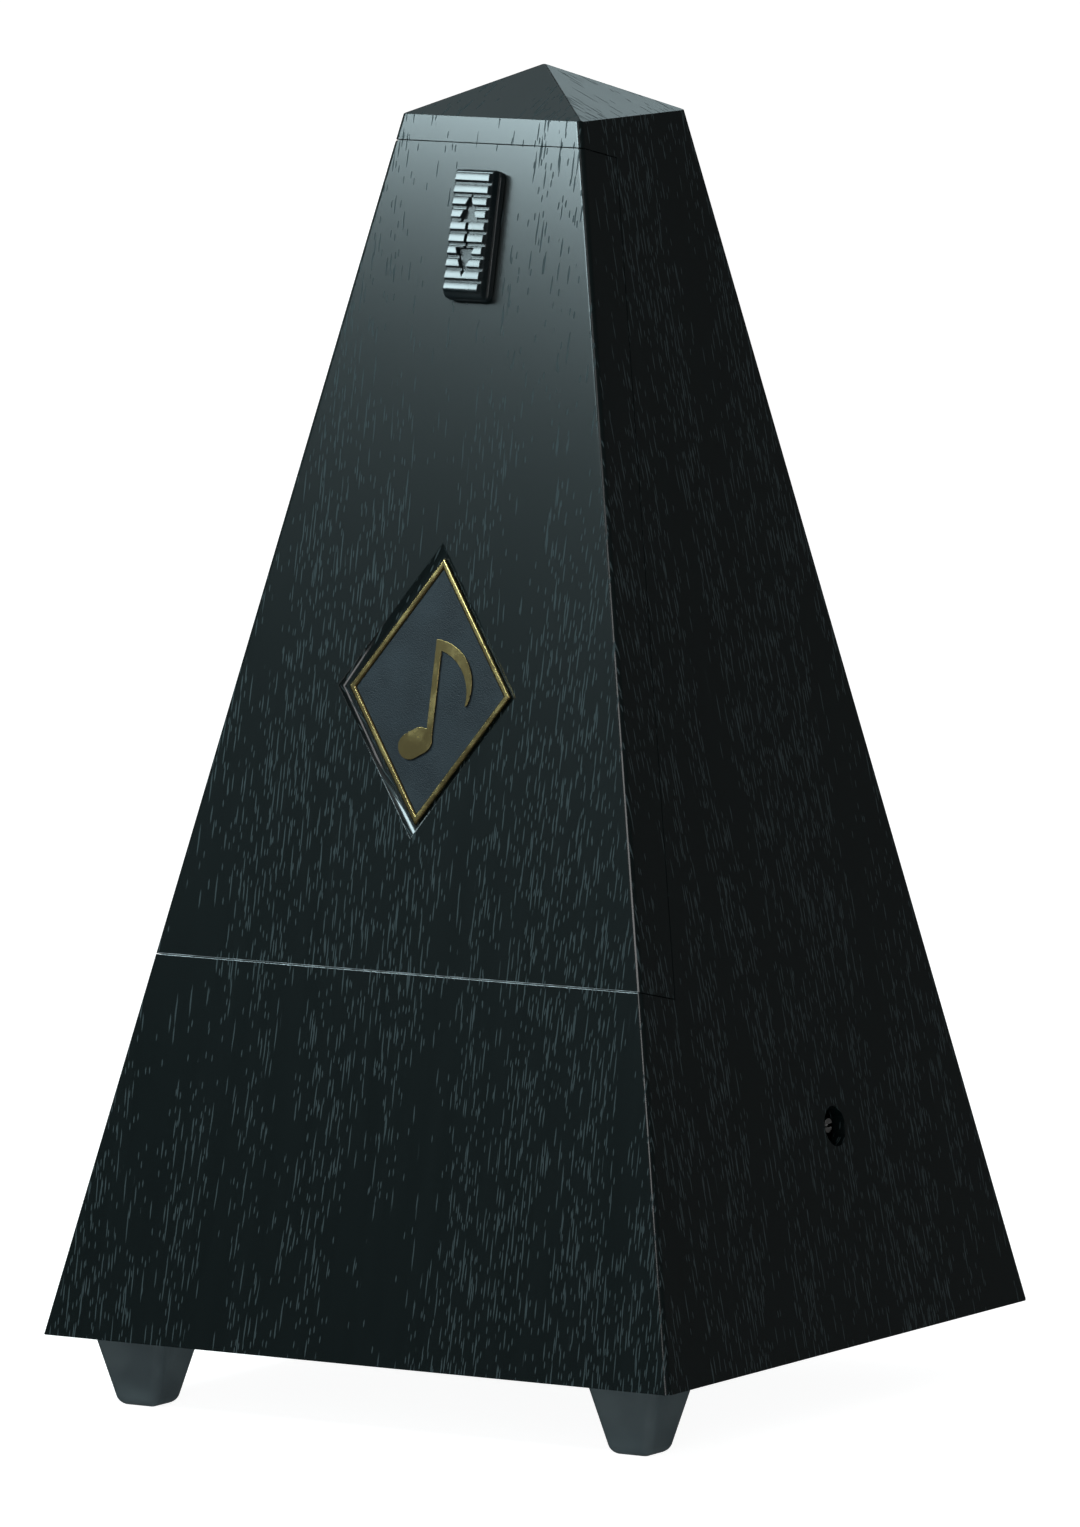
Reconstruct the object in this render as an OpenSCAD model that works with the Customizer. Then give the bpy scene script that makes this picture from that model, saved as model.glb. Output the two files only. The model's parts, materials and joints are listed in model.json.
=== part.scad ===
// Clockwork pyramid metronome: case with a removable front cover, a pendulum with a sliding
// weight that leans back with the front face, and a spring driven movement wound from the right.
// Origin on the ground under the middle of the case, +Z up, front towards -Y, winding side +X.

/* [Case] */
// Width of the case across its bottom edge
base_w = 118; // [112:1:145]
// Height of the case from its bottom edge to the eave
case_h = 198; // [180:1:240]
// Width of the case across the eave
eave_w = 33.7; // [32:0.1:42]
// Rise of the pyramid roof above the eave
roof_h = 7.9; // [5:0.1:14]
// Thickness of the moulded walls
wall = 2.4; // [2.2:0.1:3.2]
// Thickness of the base plate
base_t = 2.4; // [2:0.1:4]
// Clearance between the base plate and the case walls
base_gap = 0.2; // [0.1:0.05:0.4]

/* [Front cover] */
// Height up the slope of the seam under the cover
seam_low = 63.3; // [60:0.1:68]
// Width down the slope of the fixed band between the cover and the eave
head_band = 4.15; // [3.5:0.05:8]
// Depth of the cover tray behind the front face
cover_d = 10.4; // [9.8:0.1:11]
// Gap all along the seam
seam_gap = 0.15; // [0.1:0.05:0.4]
// Radius of the locating pegs inside the cover
peg_r = 1.6; // [1.2:0.1:2.4]
// Radial clearance round a locating peg
peg_gap = 0.25; // [0.15:0.05:0.4]

/* [Badge] */
// Height up the slope of the middle of the badge
badge_s = 109.1; // [100:0.1:120]
// Half the width of the badge rim
badge_hw = 15.2; // [12:0.1:18]
// Half the length of the badge rim
badge_hl = 21.8; // [18:0.1:26]
// Width of the raised rim
rim_w = 1.3; // [0.8:0.1:2]
// Depth of the recess that the badge sits in
recess_d = 1.5; // [1:0.1:1.7]
// Lean of the recess walls, measured across the mouth
recess_flare = 1.1; // [0.6:0.1:1.4]
// Gap between the rim and the foot of the recess walls
badge_gap = 0.4; // [0.2:0.1:0.6]
// Thickness of the rim
rim_t = 0.7; // [0.4:0.1:0.9]
// Thickness of the field plate
field_t = 0.35; // [0.2:0.05:0.5]

/* [Latch] */
// Distance from the upper seam down to the middle of the latch slider
latch_drop = 15.2; // [14.5:0.1:20]
// Width of the latch slider
latch_w = 8.2; // [6:0.1:9]
// Length of the latch slider
latch_l = 21.4; // [17:0.1:22]
// Height of the ribbed block above the flange
latch_block = 2.4; // [1.2:0.1:2.6]
// Thickness of the flange against the cover
latch_flange = 1.2; // [0.6:0.1:1.4]
// Upward travel of the latch slider
latch_travel = 3; // [2:0.1:3.5]
// Gap between the latch parts and the faces they slide on
latch_gap = 0.15; // [0.1:0.05:0.3]
// Number of grip ribs
rib_count = 10; // [6:1:12]

/* [Feet] */
// Height of each foot
foot_h = 12; // [9:0.5:16]
// Width of a foot where it meets the base plate
foot_top_w = 13.5; // [11:0.1:16]
// Width of a foot at the ground
foot_low_w = 7.6; // [6:0.1:9]
// Distance from the middle of a foot to the bottom edge of the case
foot_inset = 12.5; // [11:0.1:16]
// Radius of the stud that holds a foot in the base plate
stud_r = 2.5; // [2:0.1:3]

/* [Pendulum] */
// Height up the slope of the pendulum pivot
pivot_s = 52; // [50:0.1:54]
// Length of the rod above the middle of its clip
rod_tail = 7.6; // [5:0.1:9]
// Width of the pendulum rod
rod_w = 3.2; // [2.4:0.1:4]
// Thickness of the pendulum rod
rod_t = 1.2; // [0.8:0.1:1.6]
// Distance from the inside of the cover to the middle of the rod
rod_room = 3; // [2.8:0.1:3.4]
// Distance from the pivot to the middle of the tempo weight
weight_r = 88; // [50:1:100]
// Height of the tempo weight
weight_h = 14; // [10:0.5:16]
// Width of the tempo weight at its wide top
weight_w = 16; // [12:0.5:18]
// Thickness of the tempo weight
weight_t = 4.4; // [3.6:0.1:4.6]
// Radius of the bob under the pivot
bob_r = 17; // [14:0.5:18]
// Thickness of the bob
bob_t = 6.4; // [5:0.1:7]
// Distance from the pivot down to the middle of the bob
bob_drop = 28; // [24:0.5:29]

/* [Movement] */
// Distance of the winding arbor behind the middle of the case
wind_y = 6.9; // [5:0.1:9]
// Height of the winding arbor above the bottom edge of the case
wind_h = 34.7; // [33:0.1:37]
// Distance between the inner faces of the two movement plates
plate_gap = 46; // [44:0.5:50]
// Thickness of the movement plates
plate_t = 1.5; // [1.2:0.1:2]
// Radius of the mainspring barrel
barrel_r = 20; // [18:0.1:20.5]
// Radius of the winding arbor where the key goes on
key_pin_r = 1.25; // [1:0.05:1.5]
// Length of the winding arbor that the key goes on
key_pin_l = 8; // [6:0.5:10]
// Distance of the arbor tip below the surface of the case
tip_recess = 1.2; // [0.8:0.1:3]
// Diameter of the keyhole
keyhole_d = 6.5; // [6:0.1:8]
// Radial running clearance of every arbor in its hole
run_gap = 0.05; // [0.03:0.01:0.08]
// Teeth on the great wheel
great_teeth = 72; // [72:1:76]
// Teeth on the second pinion
second_leaves = 12; // [12:1:13]
// Module of the great wheel and second pinion
great_mod = 0.7; // [0.68:0.01:0.72]
// Teeth on the second wheel
second_teeth = 60; // [58:1:62]
// Teeth on the escape pinion
escape_leaves = 10; // [10:1:11]
// Module of the second wheel and escape pinion
second_mod = 0.5; // [0.48:0.01:0.52]
// Teeth on the crown wheel
crown_teeth = 15; // [13:2:17]
// Sideways play between meshing teeth
tooth_play = 0.14; // [0.1:0.01:0.2]

/* [Hidden] */
$fn = 96;

eps = 0.5;
lean = (base_w - eave_w) / 2 / case_h;
face_tilt = atan(lean);
half_base = base_w / 2;
eave_z = foot_h + case_h;
top_z = eave_z + roof_h;
slope_len = case_h / cos(face_tilt);
wall_h = wall / cos(face_tilt);
seam_high = slope_len - head_band;
latch_s = seam_high - latch_drop;
clip_s = latch_s - 4;
rod_d = wall + rod_room;
rod_up = clip_s + rod_tail - pivot_s;
shell_colour = [0.03, 0.05, 0.055];
foot_colour = [0.17, 0.22, 0.24];
steel_colour = [0.72, 0.73, 0.75];
brass_colour = [0.78, 0.62, 0.3];
iron_colour = [0.35, 0.36, 0.38];
spring_colour = [0.4, 0.44, 0.5];
board_colour = [0.1, 0.1, 0.11];
scale_colour = [0.86, 0.84, 0.76];
field_colour = [0.16, 0.2, 0.24];
rim_colour = [0.62, 0.55, 0.28];
emblem_colour = [0.7, 0.64, 0.36];
slider_colour = [0.1, 0.13, 0.14];

// Half the outer width of the case at height z
function half_width(z) = half_base - (z - foot_h) * lean;
// A place d behind the front face and s up its slope
function front_y(d, s) = -half_base + d * cos(face_tilt) + s * sin(face_tilt);
function front_z(d, s) = foot_h - d * sin(face_tilt) + s * cos(face_tilt);
// Where the plane d behind the front face is at height z
function plane_y(d, z) = -half_base + d / cos(face_tilt) + (z - foot_h) * lean;
// Inner half width of the case at a place d behind the front face and s up its slope
function inner_x(d, s) = half_width(front_z(d, s)) - wall_h;
function unit(v) = v / norm(v);
// Third corner of a triangle, to the right of the way from p to q
function third_corner(p, q, from_p, from_q) =
    let (span = norm(q - p), along = (from_p ^ 2 - from_q ^ 2 + span ^ 2) / 2 / span,
         off = sqrt(from_p ^ 2 - along ^ 2), way = unit(q - p))
    p + along * way + off * [-way[1], way[0]];

// Screws: shank clearance, and the radii of the holes that they go in
screw_gap = 0.05;
pilot_r = 1.2;
small_screw_r = 0.9;
pillar_screw_r = 1.1;
pin_gap = 0.3;

// Carrier behind the cover, and what it holds
scale_room = 3.6;
carrier_t = 2;
carrier_front = max(rod_d + scale_room, cover_d - carrier_t + 0.6);
carrier_back = carrier_front + carrier_t;
carrier_low = pivot_s + 7;
carrier_high = seam_high - 2;
carrier_gap = 0.4;
carrier_screw_rows = [carrier_low + 10, seam_high - 24];
carrier_screw_in = 2.4;
peg_rows = [carrier_low + 22, seam_high - 38];
lug_in = 5;
lug_w = 12;
lug_h = 8;
lug_deep = 7;
scale_t = 0.6;
scale_rows = [carrier_low + 5, latch_s - 12];
clip_w = 8;
clip_h = 4;

// Latch behind the cover
stem_w = 2.7;
stem_h = 8;
slot_w = 3;
tongue_t = 1.4;
tongue_w = 10;
tongue_engage = 0.7;

// Pendulum
weight_low = 40;
notch_pitch = 3.6;
notch_count = 21;
weight_gap = 0.15;
spring_pocket = 0.9;
spring_h = 8;
bob_front = 1.8;
bob_round = 1.2;
hub_r = 4.5;
hub_t = 4.4;
hub_front = 1.6;
verge_r = 1.25;

// Bridges and crown wheel, counted back from the front edges of the movement plates
frame_d = carrier_back + 2;
bridge_t = 3;
bridge_h = 9;
bridge_screw_l = 6;
front_bridge_mid = frame_d + 2;
crown_d = frame_d + 13;
crown_r = 9;
crown_wall = 1.4;
crown_tip_x = -2.6;
crown_len = 6.4;
crown_floor = 1.2;

wind = [wind_y, foot_h + wind_h];
escape = [front_y(crown_d, pivot_s), front_z(crown_d, pivot_s)];
great_r = great_mod * great_teeth / 2;
second_r = second_mod * second_teeth / 2;
great_centres = great_mod * (great_teeth + second_leaves) / 2;
second_centres = second_mod * (second_teeth + escape_leaves) / 2;
second = third_corner(wind, escape, great_centres, second_centres);
great_phase = atan2(second[1] - wind[1], second[0] - wind[0]);
second_phase = atan2(escape[1] - second[1], escape[0] - second[0]);

// The rear bridge stands behind the crown wheel, and as far back as the second wheel needs
wheel_gap = 0.5;
second_way = second - [-half_base, foot_h];
second_d = second_way[0] * cos(face_tilt) - second_way[1] * sin(face_tilt);
second_s = second_way[0] * sin(face_tilt) + second_way[1] * cos(face_tilt);
second_reach = second_r + second_mod + wheel_gap;
rear_bridge_x = 3;
rear_bridge_s = pivot_s + 2;
rear_bridge_over = max(rear_bridge_s - bridge_h / 2 - second_s, 0);
rear_bridge_d = max(crown_d + 12, second_d + sqrt(max(second_reach ^ 2 - rear_bridge_over ^ 2, 0)));
rear_bridge_mid = rear_bridge_d + bridge_t / 2;
rear_bridge_place = [front_y(rear_bridge_mid, rear_bridge_s), front_z(rear_bridge_mid, rear_bridge_s)];
front_bridge_place = [front_y(front_bridge_mid, pivot_s), front_z(front_bridge_mid, pivot_s)];
verge_end = rear_bridge_d + bridge_t + 0.6;

plate_x = plate_gap / 2;
post_h = 3.6;
plate_low = foot_h + base_t + post_h;
plate_top = max(wind[1] + 30.3, escape[1] + 19.5);
plate_rear = wind[0] + 27.1;
great_x = plate_x - 4;
great_t = 2;
barrel_x = 4;
barrel_l = great_x - barrel_x;
barrel_wall = 1.2;
second_x = -plate_x + 4.4;
second_t = 1.2;
escape_bridge_x = -plate_x + 10;
escape_bridge_r = 3.2;
escape_posts = [escape + [8.8, 10], escape + [0.8, 13.4]];
arbor_r = 2.5;
arbor_left_r = 1.6;
arbor_right_r = 2;
train_r = 1.2;
arbor_end = 0.4;
ratchet_r = 9;
ratchet_t = 2;
ratchet_x = plate_x + plate_t + 0.5;
ratchet_teeth = 16;
click_pivot = wind + [12.4, 6.2];
click_shoulder_r = 1.8;
click_spring_place = wind + [17, -4];
spring_w = 1.5;
tip_x = half_width(wind[1]) - tip_recess;
tip_slot_w = 0.5;
tip_slot_deep = 0.8;
pillar_r = 2.5;
pillar_front = 5;
pillar_rear = 4;
pillar_low = 6;
pillar_screw_l = 7;
pillar_places = [
    [plane_y(frame_d, plate_low + pillar_low) + pillar_front, plate_low + pillar_low],
    [min(plane_y(frame_d, plate_top - 7) + pillar_front, escape_posts[1][0] - 6.4), plate_top - 7],
    [plate_rear - pillar_rear, plate_low + pillar_low],
    [plate_rear - pillar_rear, plate_top - pillar_low]
];

// Posts of the base plate that carry the movement, each as [x, y]
mount_x = plate_x + 7;
mount_places = [[mount_x, wind[0] - 24], [mount_x, wind[0] + 20]];
mount_post_r = 4;
mount_hole_r = 1.4;
mount_tab_w = 11;
mount_tab_l = 9;

// Bosses of the case that the base plate is screwed to
boss_r = 3.6;
boss_h = 24;
boss_top = foot_h + boss_h;
boss_web = 2.4;
boss_bore = 16;
boss_inset = 14.5;
boss_front_inset = 26;
boss_places = [
    [half_base - boss_inset, half_base - boss_inset],
    [half_base - boss_inset, boss_front_inset - half_base]
];
base_screw_sink = 1.2;
base_screw_head_r = 2.6;
foot_place = half_base - foot_inset;
base_half = half_width(foot_h + base_t) - wall_h - base_gap;

module on_front() {
    translate([0, -half_base, foot_h]) rotate([-face_tilt, 0, 0]) children();
}

// Draws its child outline on the slope, t thick, from d behind the front face outwards
module front_sheet(d, t) {
    on_front() translate([0, d, 0]) rotate([90, 0, 0]) linear_extrude(t) children();
}

// A rod along the front face's normal
module front_pin(x, s, d_from, d_to, r) {
    on_front() translate([x, d_from, s]) rotate([-90, 0, 0]) cylinder(r = r, h = d_to - d_from);
}

// Draws its child outline across the case, with its flat axes along Y and Z
module across(x, place, t) {
    translate([x, place[0], place[1]]) rotate([90, 0, 90]) linear_extrude(t) children();
}

module across_pin(x_from, x_to, place, r) {
    translate([x_from, place[0], place[1]]) rotate([0, 90, 0]) cylinder(r = r, h = x_to - x_from);
}

module mirrored_x() {
    children();
    mirror([1, 0, 0]) children();
}

// A body with four sides that all follow one outline
module four_sided(outline) {
    intersection() {
        rotate([90, 0, 0]) linear_extrude(3 * base_w, center = true) polygon(outline);
        rotate([90, 0, 90]) linear_extrude(3 * base_w, center = true) polygon(outline);
    }
}

module rounded_rect(w, h, r) {
    square([w - 2 * r, h], center = true);
    square([w, h - 2 * r], center = true);
    for (x = [-1, 1])
        for (y = [-1, 1])
            translate([x * (w / 2 - r), y * (h / 2 - r)]) circle(r = r);
}

// The lozenge of the badge, with its sides moved out by grow along its short axis
module lozenge(grow) {
    hw = badge_hw + grow;
    hl = badge_hl * hw / badge_hw;
    translate([0, badge_s]) polygon([[hw, 0], [0, hl], [-hw, 0], [0, -hl]]);
}

// A bar with round ends from p to q
module link(p, q, r) {
    way = q - p;
    translate(p) rotate(atan2(way[1], way[0])) translate([0, -r]) square([norm(way), 2 * r]);
    translate(p) circle(r = r);
    translate(q) circle(r = r);
}

// A slotted pan head screw with its seat at the origin and its shank down
module screw(head_r, head_t, shank_r, shank_l) {
    difference() {
        cylinder(r = head_r, h = head_t);
        translate([-head_r - eps, -head_r * 0.12, head_t * 0.5])
            cube([2 * head_r + 2 * eps, head_r * 0.24, head_t]);
    }
    translate([0, 0, -shank_l]) cylinder(r = shank_r, h = shank_l);
}

function involute(base_r, r) =
    let (t = sqrt(max((r / base_r) ^ 2 - 1, 0))) t * 180 / PI - atan(t);

// One gear tooth as [radius, angle] pairs
function tooth(teeth, mod, tip, root) =
    let (r = mod * teeth / 2, base_r = r * cos(20), tip_r = r + tip * mod, root_r = r - root * mod,
         start = max(base_r, root_r), steps = 4,
         half = 90 / teeth - tooth_play / 2 / r * 180 / PI + involute(base_r, r),
         flank = [for (i = [0 : steps])
             let (q = start + (tip_r - start) * i / steps) [q, half - involute(base_r, q)]],
         foot = [root_r, half - involute(base_r, start)])
    concat([[foot[0], -foot[1]]], [for (p = flank) [p[0], -p[1]]],
           [for (i = [steps : -1 : 0]) flank[i]], [foot]);

module gear(teeth, mod, tip, root, phase) {
    polygon([for (k = [0 : teeth - 1])
        for (p = tooth(teeth, mod, tip, root))
            let (a = p[1] + phase + k * 360 / teeth) [p[0] * cos(a), p[0] * sin(a)]]);
}

// ---------- case ----------

module case_solid() {
    four_sided([
        [-half_base, foot_h], [half_base, foot_h], [eave_w / 2, eave_z], [0, top_z], [-eave_w / 2, eave_z]
    ]);
}

module case_hollow() {
    low = half_width(foot_h - eps) - wall_h;
    ceiling = eave_z - 0.4 * wall;
    high = half_width(ceiling) - wall_h;
    floor_z = foot_h - eps;
    four_sided([[-low, floor_z], [low, floor_z], [high, ceiling], [0, top_z - wall], [-high, ceiling]]);
}

module cover_space(gap) {
    depth = cover_d - gap;
    on_front() translate([-base_w, -base_w, seam_low + gap])
        cube([2 * base_w, base_w + depth, seam_high - seam_low - 2 * gap]);
}

// Places the lugs that the scale carrier is screwed to, one on each side wall
module carrier_lugs() {
    for (s = carrier_screw_rows)
        mirrored_x() on_front()
            translate([inner_x(carrier_back, s) - lug_in, carrier_back, s - lug_h / 2])
                cube([lug_w, lug_deep, lug_h]);
}

module case_shell() {
    color(shell_colour) difference() {
        union() {
            difference() {
                case_solid();
                case_hollow();
                cover_space(0);
            }
            intersection() {
                case_solid();
                union() {
                    difference() {
                        carrier_lugs();
                        cover_space(0);
                    }
                    mirrored_x() for (p = boss_places) {
                        translate([p[0], p[1], foot_h + base_t]) cylinder(r = boss_r, h = boss_h - base_t);
                        translate([p[0], p[1] - boss_web / 2, foot_h + base_t])
                            cube([base_w, boss_web, boss_h - base_t]);
                    }
                }
            }
        }
        mirrored_x() for (p = boss_places)
            translate([p[0], p[1], foot_h]) cylinder(r = pilot_r, h = boss_bore);
        mirrored_x() for (s = carrier_screw_rows)
            front_pin(carrier_screw_x(s), s, carrier_front, carrier_front + 7.5, small_screw_r);
        across_pin(half_width(wind[1]) - 3 * wall, half_base, wind, keyhole_d / 2);
    }
}

module base_plate() {
    color(foot_colour) difference() {
        union() {
            translate([-base_half, -base_half, foot_h]) cube([2 * base_half, 2 * base_half, base_t]);
            mirrored_x() for (p = mount_places)
                translate([p[0], p[1], foot_h]) cylinder(r = mount_post_r, h = plate_low - foot_h);
        }
        mirrored_x() translate([foot_place, -foot_place, foot_h - eps]) cylinder(r = stud_r, h = base_t + 1);
        translate([0, foot_place, foot_h - eps]) cylinder(r = stud_r, h = base_t + 1);
        mirrored_x() for (p = mount_places)
            translate([p[0], p[1], foot_h - eps]) cylinder(r = pilot_r, h = plate_low);
        mirrored_x() for (p = boss_places) {
            translate([p[0], p[1], foot_h - eps]) cylinder(r = pilot_r + 0.4, h = base_t + 1);
            translate([p[0], p[1], foot_h - eps])
                cylinder(r = base_screw_head_r + pin_gap, h = base_screw_sink + eps);
        }
    }
}

module base_screws() {
    color(steel_colour) mirrored_x() for (p = boss_places)
        translate([p[0], p[1], foot_h + base_screw_sink]) mirror([0, 0, 1])
            screw(base_screw_head_r, base_screw_sink - 0.1, pilot_r - screw_gap, 12);
}

module foot(x, y) {
    low = foot_low_w / 2;
    top = foot_top_w / 2;
    color(foot_colour) translate([x, y, 0]) {
        intersection() {
            four_sided([[-low, 0], [low, 0], [top, foot_h], [-top, foot_h]]);
            translate([-foot_top_w, -foot_top_w, 0]) cube([2 * foot_top_w, 2 * foot_top_w, foot_h]);
        }
        cylinder(r = stud_r, h = foot_h + base_t);
    }
}

module foot_front_left() {
    foot(-foot_place, -foot_place);
}

module foot_front_right() {
    foot(foot_place, -foot_place);
}

module foot_rear() {
    foot(0, foot_place);
}

// ---------- behind the cover ----------

function peg_x(s) = inner_x(carrier_front, s) - peg_r - 1.4;
function carrier_screw_x(s) = inner_x(carrier_back, s) - carrier_screw_in;

// A hole right through the carrier
module carrier_hole(x, s, r) {
    front_pin(x, s, carrier_front - eps, carrier_back + eps, r);
}

module scale_carrier() {
    low = inner_x(carrier_front, carrier_low) - carrier_gap;
    high = inner_x(carrier_front, carrier_high) - carrier_gap;
    color(board_colour) difference() {
        front_sheet(carrier_back, carrier_t)
            polygon([[-low, carrier_low], [low, carrier_low], [high, carrier_high], [-high, carrier_high]]);
        for (s = peg_rows)
            mirrored_x() carrier_hole(peg_x(s), s, peg_r + peg_gap);
        for (s = carrier_screw_rows)
            mirrored_x() carrier_hole(carrier_screw_x(s), s, small_screw_r + pin_gap);
        for (s = concat(scale_rows, [clip_s]))
            carrier_hole(0, s, small_screw_r);
    }
}

module carrier_screws() {
    color(steel_colour) for (s = carrier_screw_rows)
        mirrored_x() on_front() translate([carrier_screw_x(s), carrier_front, s]) rotate([90, 0, 0])
            screw(1.9, 1.1, small_screw_r - screw_gap, 6);
}

module tempo_scale() {
    low_s = carrier_low + 2;
    high_s = latch_s - 9;
    low_half = 11;
    high_half = 8.5;
    color(scale_colour) difference() {
        front_sheet(carrier_front, scale_t)
            polygon([[-low_half, low_s], [low_half, low_s], [high_half, high_s], [-high_half, high_s]]);
        for (s = scale_rows)
            front_pin(0, s, carrier_front - scale_t - eps, carrier_front + eps, small_screw_r + 0.2);
    }
}

module scale_screws() {
    color(steel_colour) for (s = scale_rows)
        on_front() translate([0, carrier_front - scale_t, s]) rotate([90, 0, 0])
            screw(1.7, 0.6, small_screw_r - screw_gap, 2.2);
}

module pendulum_clip() {
    reach = carrier_front - rod_d - rod_t / 2 - pin_gap;
    groove = 0.8;
    color(steel_colour) on_front() translate([0, carrier_front, clip_s]) {
        rotate([90, 0, 0]) difference() {
            linear_extrude(reach) rounded_rect(clip_w, clip_h, 0.8);
            translate([-rod_w / 2 - pin_gap, -clip_h, reach - groove])
                cube([rod_w + 2 * pin_gap, 2 * clip_h, groove + eps]);
        }
        rotate([-90, 0, 0]) cylinder(r = small_screw_r - screw_gap, h = carrier_t);
    }
}

// ---------- cover ----------

module badge_recess() {
    thin = 0.01;
    hull() {
        front_sheet(recess_d, thin) lozenge(badge_gap);
        front_sheet(-eps, thin) lozenge(badge_gap + recess_flare * (1 + eps / recess_d));
    }
}

module front_cover() {
    color(shell_colour) {
        difference() {
            intersection() {
                difference() {
                    case_solid();
                    case_hollow();
                }
                cover_space(seam_gap);
            }
            badge_recess();
            on_front() translate([-slot_w / 2, -eps, latch_s - stem_h / 2 - latch_gap])
                cube([slot_w, wall + 2 * eps, stem_h + latch_travel + 2 * latch_gap]);
        }
        for (s = peg_rows)
            mirrored_x() front_pin(peg_x(s), s, 0.8 * wall, carrier_back, peg_r);
    }
}

module badge_field() {
    color(field_colour) front_sheet(recess_d, field_t) lozenge(-rim_w);
}

module badge_rim() {
    color(rim_colour) front_sheet(recess_d, rim_t) difference() {
        lozenge(0);
        lozenge(-rim_w);
    }
}

// A plain quaver: leaning head, stem and a flag of two arcs
module badge_emblem() {
    note_h = 17;
    head_r = 2.2;
    head_lean = [0.9, 0.5];
    stem_x = 1.9;
    stem_t = 1.1;
    flag_r = 7.5;
    flag_inner_r = 7.7;
    color(emblem_colour) front_sheet(recess_d - field_t, rim_t - field_t) translate([-1.6, badge_s]) {
        for (side = [-1, 1])
            translate(side * head_lean - [0, note_h / 2]) circle(r = head_r);
        translate([0, -note_h / 2]) rotate(atan2(head_lean[1], head_lean[0]))
            square([2 * norm(head_lean), 2 * head_r], center = true);
        translate([stem_x, -note_h / 2]) square([stem_t, note_h]);
        difference() {
            translate([stem_x, note_h / 2 - flag_r]) circle(r = flag_r);
            translate([stem_x - 1, note_h / 2 - flag_r - 1.7]) circle(r = flag_inner_r);
            translate([stem_x - 2 * flag_r, -note_h]) square([2 * flag_r, 2 * note_h]);
            translate([stem_x, -note_h - 2]) square([2 * flag_r, note_h]);
        }
    }
}

module latch_slider() {
    pitch = 0.92 * latch_l / rib_count;
    rib_r = 0.3 * latch_l / rib_count;
    step_in = 0.5;
    stem_l = wall + 2 * latch_gap;
    color(slider_colour) on_front() translate([0, -latch_gap, latch_s]) rotate([90, 0, 0]) {
        linear_extrude(latch_flange) rounded_rect(latch_w, latch_l, 1.2);
        translate([0, 0, latch_flange]) linear_extrude(latch_block - rib_r)
            rounded_rect(latch_w - 2 * step_in, latch_l - 2 * step_in, 0.8);
        for (i = [0 : rib_count - 1])
            translate([0, (i - (rib_count - 1) / 2) * pitch, latch_flange + latch_block - rib_r])
                rotate([0, 90, 0]) cylinder(r = rib_r, h = latch_w - 3 * step_in, center = true);
        difference() {
            translate([-stem_w / 2, -stem_h / 2, -stem_l]) cube([stem_w, stem_h, stem_l + eps]);
            translate([0, 0, -wall - eps]) cylinder(r = small_screw_r, h = wall);
        }
    }
}

module latch_tongue() {
    low_s = latch_s - 8;
    color(steel_colour) difference() {
        on_front() translate([-tongue_w / 2, wall + latch_gap, low_s])
            cube([tongue_w, tongue_t, seam_high - tongue_engage - low_s]);
        front_pin(0, latch_s, wall - eps, wall + 5, small_screw_r);
    }
}

module latch_screw() {
    color(steel_colour) on_front() translate([0, wall + latch_gap + tongue_t, latch_s]) rotate([-90, 0, 0])
        screw(1.7, 0.4, small_screw_r - screw_gap, tongue_t + 1.6);
}

// ---------- pendulum ----------

module rod_outline() {
    translate([-rod_w / 2, pivot_s - bob_drop]) square([rod_w, rod_up + bob_drop]);
}

module pendulum_rod() {
    color(steel_colour) difference() {
        front_sheet(rod_d + rod_t / 2, rod_t) rod_outline();
        front_pin(0, pivot_s, rod_d - rod_t, rod_d + rod_t, verge_r);
        for (i = [0 : notch_count - 1])
            mirrored_x() front_sheet(rod_d + rod_t, 2 * rod_t)
                translate([rod_w / 2, pivot_s + weight_low + i * notch_pitch]) rotate(45)
                    square(0.5, center = true);
    }
}

module pendulum_hub() {
    color(brass_colour) difference() {
        front_pin(0, pivot_s, rod_d - hub_front, rod_d - hub_front + hub_t, hub_r);
        front_pin(0, pivot_s, rod_d - 3, rod_d + hub_t, verge_r);
        front_sheet(rod_d + rod_t / 2, rod_t) rod_outline();
    }
}

module pendulum_bob() {
    half = bob_t / 2;
    color(iron_colour) difference() {
        on_front() translate([0, rod_d - bob_front + half, pivot_s - bob_drop]) rotate([90, 0, 0])
            rotate_extrude() polygon([
                [0, -half], [bob_r - bob_round, -half], [bob_r, bob_round - half],
                [bob_r, half - bob_round], [bob_r - bob_round, half], [0, half]
            ]);
        front_sheet(rod_d + rod_t / 2, rod_t) rod_outline();
    }
}

module verge_arbor() {
    color(steel_colour) front_pin(0, pivot_s, rod_d - hub_front, verge_end, verge_r);
}

// Two flags on the arbor, one at each side of the crown wheel
module verge_pallets() {
    flag_l = 3.2;
    flag_w = 1.8;
    flag_t = 0.7;
    flag_turn = 50;
    reach = crown_r - crown_wall / 2;
    color(steel_colour) difference() {
        union() for (side = [-1, 1])
            on_front() translate([0, crown_d + side * reach, pivot_s]) {
                rotate([90, 0, 0]) cylinder(r = verge_r + 0.7, h = flag_w, center = true);
                rotate([0, side * flag_turn, 0]) translate([-flag_l, -flag_w / 2, -flag_t / 2])
                    cube([flag_l, flag_w, flag_t]);
            }
        front_pin(0, pivot_s, crown_d - 2 * reach, crown_d + 2 * reach, verge_r);
    }
}

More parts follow.
